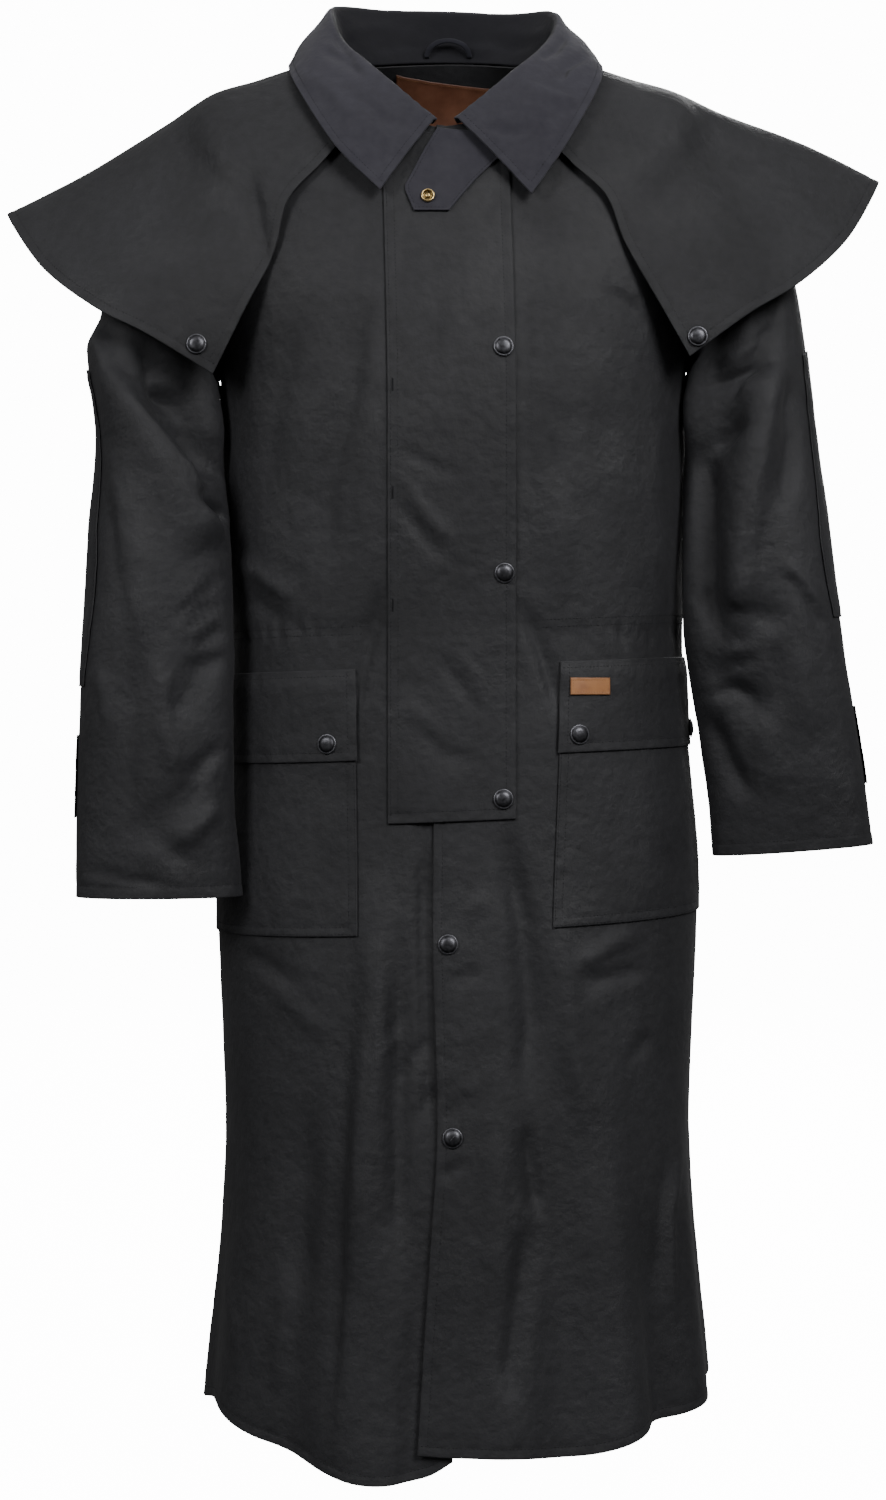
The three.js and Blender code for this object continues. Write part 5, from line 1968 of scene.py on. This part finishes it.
@dataclass
class Studio:
    """The camera, soft lights and a plain pale floor."""

    floor_z: float = -1.4
    floor_half: float = 30.0
    above: float = 0.3
    below: float = 0.05
    horizon: tuple[float, float] = (-0.4, 0.6)  # where the room's light grows from below to above
    backdrop: float = 14.0
    floor_dimmer: float = 0.4
    sensor: float = 36.0
    middle: Three = (0.0, 0.0, -0.6)
    # each lamp's name, place, size and power
    lamps: tuple[tuple[str, Three, float, float], ...] = (
        ("key", (1.4, -2.2, 1.1), 1.2, 84.0),
        ("fill", (-1.9, -2.05, 0.75), 1.0, 46.0),
        ("top", (0.0, -0.2, 1.6), 1.4, 5.0),
        ("back", (0.7, 2.6, 0.9), 1.8, 95.0),
    )

    def build(self) -> None:
        """Sets up the camera, the lights, the world and the floor."""
        self.build_camera()
        for lamp in self.lamps:
            self.light(*lamp)
        self.build_world()
        self.build_floor()

    def build_world(self) -> None:
        """Lights the room softly, more from above, before a plain pale backdrop."""
        world = bpy.data.worlds.new("studio")
        world.use_nodes = True
        tree = world.node_tree
        way = tree.nodes.new("ShaderNodeSeparateXYZ")
        tree.links.new(tree.nodes.new("ShaderNodeTexCoord").outputs["Generated"], way.inputs[0])
        room = tree.nodes.new("ShaderNodeMapRange")
        tree.links.new(way.outputs["Z"], room.inputs["Value"])
        low, high = self.horizon
        ranges = {"From Min": low, "From Max": high, "To Min": self.below, "To Max": self.above}
        for key, value in ranges.items():
            room.inputs[key].default_value = value
        shown = tree.nodes.new("ShaderNodeMix")
        tree.links.new(tree.nodes.new("ShaderNodeLightPath").outputs["Is Camera Ray"], shown.inputs[0])
        tree.links.new(room.outputs["Result"], shown.inputs[2])
        shown.inputs[3].default_value = self.backdrop
        background = tree.nodes["Background"]
        background.inputs["Color"].default_value = (1.0, 1.0, 1.0, 1.0)
        tree.links.new(shown.outputs[0], background.inputs["Strength"])
        bpy.context.scene.world = world

    def build_camera(self) -> None:
        """Sets the camera where the picture's was."""
        camera = bpy.data.objects.new("camera", bpy.data.cameras.new("camera"))
        bpy.context.scene.collection.objects.link(camera)
        place, target = Vector(Picture.place * MM), Vector(Picture.target * MM)
        camera.location = place
        camera.rotation_euler = (target - place).to_track_quat("-Z", "Y").to_euler()
        camera.data.sensor_width = self.sensor
        camera.data.lens = self.sensor / 2 / math.tan(math.radians(Picture.field_deg / 2))
        bpy.context.scene.camera = camera

    def light(self, name: str, place: Three, size: float, power: float) -> None:
        """Hangs a square soft light that faces the coat's middle.

        Args:
            name: the lamp's name.
            place: where it hangs, in metres.
            size: the length of its side.
            power: its watts.
        """
        data = bpy.data.lights.new(name, "AREA")
        data.size, data.energy = size, power
        lamp = bpy.data.objects.new(name, data)
        lamp.location = place
        lamp.rotation_euler = (Vector(self.middle) - Vector(place)).to_track_quat("-Z", "Y").to_euler()
        bpy.context.scene.collection.objects.link(lamp)

    def build_floor(self) -> None:
        """Lays the floor."""
        half, z = self.floor_half / MM, self.floor_z / MM
        corners = np.array([(-half, -half, z), (half, -half, z), (half, half, z), (-half, half, z)])
        floor = mesh_object("floor", corners, [(0, 1, 2, 3)])
        graph = Graph("floor_paint")
        place = graph.node("TexCoord", {}).outputs["Object"]
        colour = graph.ramp(graph.noise(place, 3.0), (0.3, (0.8, 0.8, 0.8)), (0.7, (0.82, 0.82, 0.82)))
        strength = self.backdrop - self.floor_dimmer
        glow = {"Emission_Color": (1.0, 1.0, 1.0, 1.0), "Emission_Strength": strength}
        floor.data.materials.append(graph.shade(Base_Color=colour, Roughness=0.9, **glow))
        floor.visible_diffuse = False
        floor.visible_glossy = False


def gathers(start: float, stop: float, row: float, seed: float) -> tuple[Crease, ...]:
    """Short uneven puckers across a drawn-in line of stitches.

    Args:
        start: the picture's column where they start.
        stop: and where they stop.
        row: the picture's row of the line.
        seed: makes one run's puckers differ from another's.

    Returns:
        The puckers.
    """
    found = []
    column = start
    while column < stop:
        wander = (math.sin(7.3 * len(found) + seed) + 1) / 2
        other = (math.sin(4.1 * len(found) + 2 * seed) + 1) / 2
        path = ((column - 2 * other, row - 7 - 11 * wander), (column + 3 * wander - 1, row + 6 + 12 * other))
        found.append(Crease(path, -0.6 - 0.7 * other, 3.4, 0.0, 0.6))
        column += 8 + 6 * wander
    return tuple(found)


def creases(*rows: tuple) -> tuple[Crease, ...]:
    """Creases from rows of a path, a rise, a width and, where it isn't even, its lean and fade."""
    return tuple(Crease(*row) for row in rows)


CHEST_CREASES = creases(
    (((362, 270), (350, 390), (326, 500), (328, 590)), -3.2, 14, 0.2),
    (((378, 300), (372, 420), (352, 560)), 1.6, 9), (((297, 310), (276, 420), (262, 500)), -1.4, 11),
    (((228, 560), (262, 578), (298, 604)), 2.0, 8, -0.3), (((240, 590), (290, 625)), -1.6, 9),
    (((384, 585), (368, 650), (352, 725)), -3.2, 8, 0.2),
    (((518, 598), (543, 655), (560, 715)), -3.2, 8, -0.2),
    (((596, 284), (628, 303), (652, 328)), -1.4, 6, 0.3), (((612, 275), (640, 300)), 1.0, 6),
    (((527, 280), (526, 400), (530, 510)), -1.4, 7), (((560, 480), (562, 610)), 1.3, 12),
    (((610, 380), (590, 560)), -1.0, 14), (((660, 420), (655, 600)), 1.3, 12),
)
FLAP_CREASES = creases(
    (((430, 255), (437, 315), (432, 370)), -0.6, 4), (((463, 312), (487, 342)), -0.6, 5),
    (((396, 444), (428, 462), (462, 478)), -1.1, 6, 0.3),
    (((398, 468), (426, 512), (456, 543)), 1.5, 6, 0.3), (((396, 500), (430, 545), (452, 556)), -1.3, 7),
    (((446, 564), (482, 570)), -0.6, 5), (((438, 655), (466, 692), (487, 718)), -1.2, 6, 0.3),
    (((450, 640), (482, 690)), 0.8, 6), (((405, 700), (440, 735)), 0.8, 7),
    (((414, 722), (446, 754), (482, 762)), -1.2, 7, 0.3), (((392, 682), (426, 686)), -0.5, 5),
)
SKIRT_CREASES = creases(
    (((376, 870), (376, 1020), (362, 1170), (357, 1300)), 6.0, 18),
    (((400, 930), (398, 1110), (401, 1280)), -4.5, 11),
    (((352, 1035), (347, 1170), (335, 1345), (327, 1445)), -3.0, 9, 0.4),
    (((306, 1100), (298, 1320)), -2.5, 14), (((286, 1260), (278, 1400)), 2.0, 9),
    (((231, 1110), (226, 1270), (236, 1360)), 2.2, 5),
    (((424, 835), (424, 940), (427, 1050), (430, 1150)), -3.2, 7, 0.0, 0.25),
    (((398, 1084), (427, 1034)), -1.8, 5), (((412, 1126), (436, 1086)), -1.8, 5),
    (((382, 1060), (402, 1030)), 1.5, 5), (((240, 950), (300, 985)), -1.6, 9),
    (((270, 985), (330, 1040)), 1.4, 9),
    (((504, 822), (524, 920), (533, 1020), (526, 1105)), -6.0, 13, 0.2),
    (((528, 1120), (541, 1220)), -4.5, 9, 0.5),
    (((530, 1215), (520, 1300), (510, 1372), (521, 1415)), -4.5, 11),
    (((553, 900), (572, 1050), (590, 1130)), 3.0, 14), (((498, 1100), (495, 1300)), 2.0, 12),
    (((570, 972), (605, 948), (642, 930)), 2.2, 8), (((578, 985), (650, 968)), -2.0, 7),
    (((470, 915), (487, 892)), 1.6, 6), (((446, 985), (482, 970)), -1.5, 5),
    (((440, 1125), (466, 1088)), -2.0, 6, 0.3), (((452, 1110), (478, 1078)), 1.5, 5),
    (((440, 1180), (466, 1163)), -1.5, 5), (((628, 1064), (652, 1032)), -1.5, 7),
    (((681, 1140), (671, 1220), (673, 1330)), 2.8, 5, 0.2), (((664, 1150), (657, 1300)), -2.0, 8),
)
WAIST_GATHERS = gathers(300, 386, 630, 1.0) + gathers(542, 686, 632, 2.0) + gathers(228, 296, 634, 3.0)
# On the body's own chart, millimetres round and down: the sides behind the sleeves, and the back
BACK_CREASES = creases(
    (((405, 375), (405, 640)), 6.5, 50), (((-405, 375), (-405, 640)), 6.5, 50),
    (((500, 480), (530, 600), (560, 900)), -6.0, 24, 0.2),
    (((760, 420), (742, 560), (700, 800)), 5.0, 26, -0.2),
    (((880, 470), (905, 640), (930, 1000)), -6.0, 24),
    (((620, 545), (690, 590), (770, 610)), -4.0, 13, 0.3), (((640, 580), (700, 600)), 2.5, 10),
    (((480, 520), (560, 590)), -3.5, 12, 0.3), (((930, 530), (850, 595)), -3.5, 13, 0.3),
    (((590, 640), (640, 760), (650, 900)), 5.0, 20), (((820, 650), (790, 800), (800, 980)), -5.0, 20),
    (((560, 1000), (580, 1320)), 5.0, 22), (((700, 900), (716, 1120), (706, 1300)), -6.0, 22, 0.3),
    (((860, 1020), (850, 1300)), 5.0, 24),
)
BACK_GATHERS = tuple(
    Crease(
        ((x + 3 * math.sin(x), 592 - 5 * math.sin(3 * x)), (x - 2, 634 + 7 * math.sin(5 * x))),
        -1.5, 5.0, 0.0, 0.6,
    )
    for x in range(380, 1030, 17)
)
TRUNK_RELIEF = Relief(
    seen=CHEST_CREASES + FLAP_CREASES + SKIRT_CREASES + WAIST_GATHERS,
    own=BACK_CREASES + BACK_GATHERS,
    rumples=(Rumple(0.9, 120, 170, 1.0), Rumple(0.4, 34, 46, 2.0), Rumple(0.16, 13, 17, 2.5)),
)
CAPE_RELIEF = Relief(
    seen=creases(
        (((245, 150), (270, 290)), -2.4, 12, 0.3), (((730, 170), (760, 230), (800, 250)), -2.0, 12, 0.3),
    ),
    own=creases(
        (((-330, 90), (-352, 180), (-390, 285)), 4.0, 24),
        (((-150, 110), (-176, 200), (-190, 292)), -5.0, 22, 0.2), (((-20, 150), (-12, 290)), 3.0, 20),
        (((80, 120), (96, 200), (124, 292)), 4.5, 26),
        (((232, 110), (262, 200), (305, 290)), -5.0, 20, -0.2), (((420, 120), (450, 270)), 3.5, 22),
    ),
    rumples=(Rumple(0.8, 110, 120, 3.0), Rumple(0.4, 36, 40, 5.0), Rumple(0.16, 13, 17, 5.5)),
)
# On the collar's own chart, millimetres round from the centre back and up: inside the stand
STAND_CREASES = creases(
    (((-152, 10), (-138, 26), (-118, 48)), -2.4, 5, 0.3), (((-136, 8), (-120, 24), (-102, 46)), 1.8, 6),
    (((-124, 6), (-104, 20), (-80, 30)), -2.0, 5, 0.3), (((-96, 34), (-60, 40), (-30, 36)), 1.3, 7),
    (((-70, 14), (-34, 20), (4, 18)), -1.5, 6, 0.3), (((26, 24), (62, 18), (92, 24)), -1.6, 6, 0.3),
    (((40, 38), (76, 34), (104, 42)), 1.3, 7), (((104, 8), (114, 26), (108, 46)), -2.2, 5, 0.3),
    (((122, 8), (132, 26), (128, 44)), 1.8, 6), (((146, 8), (140, 24), (126, 50)), -2.2, 5, 0.3),
)
COLLAR_RELIEF = Relief(
    seen=creases(
        (((318, 48), (342, 58), (366, 78)), -1.3, 5, 0.3), (((330, 30), (345, 52), (358, 66)), -1.2, 4),
        (((300, 70), (330, 92), (356, 120)), 0.9, 8), (((352, 92), (382, 118), (412, 128)), -0.7, 6),
        (((336, 140), (366, 165)), 0.6, 7), (((568, 34), (556, 50), (540, 60)), -1.2, 4),
        (((590, 55), (566, 68), (560, 84)), -1.3, 5, 0.3), (((520, 82), (548, 96), (580, 102)), 0.9, 6),
        (((478, 124), (510, 134), (538, 128)), -0.8, 6), (((560, 120), (550, 150), (540, 175)), 0.6, 7),
        (((400, 40), (470, 52), (520, 44)), 0.7, 6),
    ),
    own=STAND_CREASES,
    rumples=(Rumple(0.7, 55, 45, 6.0), Rumple(0.35, 20, 18, 6.3), Rumple(0.12, 13, 13, 6.5)),
    depth=2.6,
)
# On a sleeve's own chart, millimetres round and down: its back, by the elbow and above the cuff
LEFT_SLEEVE_BACK = creases(
    (((-62, 255), (-104, 330), (-150, 430)), -3.5, 12, 0.2),
    (((-70, 470), (-110, 500), (-140, 548)), -3.5, 10), (((-120, 300), (-128, 380)), 3.0, 10),
    (((-90, 560), (-100, 680)), 3.0, 12),
)
RIGHT_SLEEVE_BACK = creases(
    (((-75, 235), (-120, 300), (-152, 400)), -3.5, 12, 0.2),
    (((-64, 440), (-100, 486), (-146, 510)), -3.5, 10), (((-104, 320), (-110, 420)), 3.0, 11),
    (((-120, 560), (-104, 690)), -3.0, 12),
)
LEFT_SLEEVE_RELIEF = Relief(
    own=LEFT_SLEEVE_BACK,
    seen=creases(
        (((778, 350), (765, 420), (755, 480), (745, 550), (742, 640)), 9.5, 18, 0.3, 0.2),
        (((706, 440), (706, 520), (711, 600), (722, 645)), -8.5, 12, 0.0, 0.3),
        (((787, 370), (793, 435), (783, 515)), -5.0, 10), (((703, 366), (745, 351), (777, 326)), 3.0, 9),
        (((700, 386), (745, 375), (776, 360)), -4.0, 6, 0.3), (((724, 416), (762, 380)), 3.5, 8),
        (((714, 452), (752, 420)), -5.0, 8),
        (((775, 569), (793, 580), (812, 605), (826, 638)), -2.6, 4, 0.4),
        (((782, 562), (806, 582), (824, 615)), 1.8, 5), (((728, 668), (758, 656)), -1.6, 5, 0.3),
        (((724, 655), (756, 646)), 1.5, 5), (((709, 696), (735, 687), (759, 701)), -3.0, 5),
        (((706, 708), (730, 760), (753, 802)), -4.5, 10, 0.3), (((777, 640), (780, 710)), -2.5, 7),
        (((800, 640), (812, 740)), 2.0, 12), (((760, 700), (775, 800)), 2.0, 12),
    ),
    rumples=(Rumple(0.9, 60, 80, 7.0), Rumple(0.4, 26, 34, 8.0), Rumple(0.16, 13, 17, 8.5)),
)
RIGHT_SLEEVE_RELIEF = Relief(
    own=RIGHT_SLEEVE_BACK,
    seen=creases(
        (((98, 318), (115, 370), (145, 415), (177, 455), (203, 500), (224, 545)), 9.0, 20, 0.75, 0.15),
        (((125, 330), (160, 385), (195, 440), (225, 490)), -13.0, 20, 0.0, 0.3),
        (((196, 490), (212, 508), (228, 522)), -7.0, 8, 0.0, 0.2),
        (((143, 386), (163, 392), (187, 403)), -3.0, 5), (((150, 372), (185, 385)), 2.5, 6),
        (((160, 405), (190, 425)), 2.5, 6), (((176, 456), (197, 476), (226, 486)), 3.5, 6),
        (((200, 497), (224, 517)), -4.0, 6),
        (((106, 440), (120, 500), (127, 560), (136, 630), (152, 655)), 3.0, 14, -0.6),
        (((172, 622), (200, 590), (221, 574)), -2.5, 5, 0.3), (((186, 632), (216, 600)), -2.5, 5),
        (((180, 605), (212, 577)), 2.0, 5), (((195, 650), (224, 625)), -3.0, 7),
        (((186, 672), (226, 655)), -2.0, 8), (((136, 645), (130, 730), (124, 830)), -3.5, 11),
        (((160, 650), (166, 730), (180, 790)), 3.0, 11), (((176, 846), (222, 804)), 3.0, 8),
        (((188, 782), (222, 743)), -3.0, 8), (((100, 665), (110, 735)), 2.0, 7),
        (((150, 830), (190, 870)), -2.0, 8), (((84, 869), (125, 879), (168, 885)), -1.8, 4),
    ),
    rumples=(Rumple(0.9, 60, 80, 10.0), Rumple(0.4, 26, 34, 11.0), Rumple(0.16, 13, 17, 11.5)),
)
LEFT_SLEEVE_RINGS = Table(
    "ring outX outZ inX inZ y halfDepth",
    (0, 246, -56, 229, -300, 0, 66), (1, 280, -88, 233.5, -307, -3, 67),
    (2, 305, -134, 234, -319, -8, 70), (3, 321, -188, 233.8, -337, -15, 73),
    (4, 331, -244, 234, -362, -23, 74), (5, 337, -303, 232, -394, -31, 73),
    (6, 344, -367, 230, -432, -39, 70), (7, 352, -432, 229, -474, -46, 66),
    (8, 360, -500, 228, -522, -52, 60),
    (9, 369, -565, 228, -574, -56, 54), (10, 380, -631, 234, -637, -58, 47),
    (11, 389, -695, 243, -700, -60, 41), (12, 396, -742, 247, -753, -61, 36),
)
RIGHT_SLEEVE_RINGS = Table(
    "ring outX outZ inX inZ y halfDepth",
    (0, 244, -56, 212, -303, 0, 66), (1, 279, -94, 218, -314, -4, 67),
    (2, 301, -142, 218.3, -328, -10, 70), (3, 314, -199, 218, -348, -18, 73),
    (4, 321, -259, 217, -376, -28, 74), (5, 320, -322, 213, -410, -38, 73),
    (6, 322, -388, 208, -450, -49, 70), (7, 327, -454, 205, -494, -59, 66),
    (8, 330, -523, 203, -542, -69, 60),
    (9, 333, -590, 201, -596, -77, 54), (10, 335, -658, 196, -660, -86, 48),
    (11, 336, -726, 190, -728, -93, 41), (12, 336, -788, 184, -787, -97, 36),
)


def sleeve_folds(*rows: tuple[float, float, float, float, float, float]) -> tuple[Crease, ...]:
    """A sleeve's main folds.

    Args:
        rows: for each fold, around and ring of its two ends, how far it stands out, and its width.

    Returns:
        The folds on the sleeve's chart.
    """
    wide, tall = Sleeve.degree_mm, Sleeve.ring_mm
    return tuple(
        Crease(((a0 * wide, r0 * tall), (a1 * wide, r1 * tall)), swell, width)
        for a0, r0, a1, r1, swell, width in rows
    )


LEFT_FOLDS = sleeve_folds(
    (55, 2.6, 140, 5.6, -9, 22), (78, 8.6, 150, 7.8, -5, 13), (92, 10.0, 150, 8.9, -6, 14),
    (-70, 3.4, -140, 6.4, -10, 18), (-60, 8.0, -130, 8.8, -7, 16),
)
RIGHT_FOLDS = sleeve_folds(
    (100, 9.6, 150, 8.4, -5, 13), (70, 11.2, 140, 10.2, -4, 15),
    (-70, 3.4, -140, 6.4, -10, 18), (-60, 8.0, -130, 8.8, -7, 16),
)


def main() -> None:
    """Builds the coat piece by piece and sets it in the studio."""
    logging.basicConfig(level=logging.INFO, format="%(name)s: %(message)s")
    Studio().build()
    finishes = Finishes()
    trunk = Trunk()
    trunk.relief = TRUNK_RELIEF
    cape = CapeShape(trunk, CAPE_RELIEF)
    left = Sleeve(Side.LEFT, trunk, LEFT_SLEEVE_RINGS, LEFT_FOLDS, LEFT_SLEEVE_RELIEF, 10.0)
    right = Sleeve(Side.RIGHT, trunk, RIGHT_SLEEVE_RINGS, RIGHT_FOLDS, RIGHT_SLEEVE_RELIEF, 10.6)
    BodyPanels(trunk, finishes).build()
    StormFlap(trunk, finishes).build()
    for side in Side:
        Pocket(trunk, finishes, side, inner_foot=83.0 if side is Side.LEFT else 88.5).build()
    SleevePieces(left, finishes, patch_foot=8.5).build()
    SleevePieces(right, finishes, patch_foot=9.1).build()
    Cape(cape, finishes).build()
    Collar(CollarShape(trunk, COLLAR_RELIEF), finishes).build()
    ThroatTab(trunk, finishes).build()
    LeatherPieces(trunk, finishes).build()
    Snaps(trunk, cape, (left, right), finishes).build()


if __name__ == "__main__":
    main()
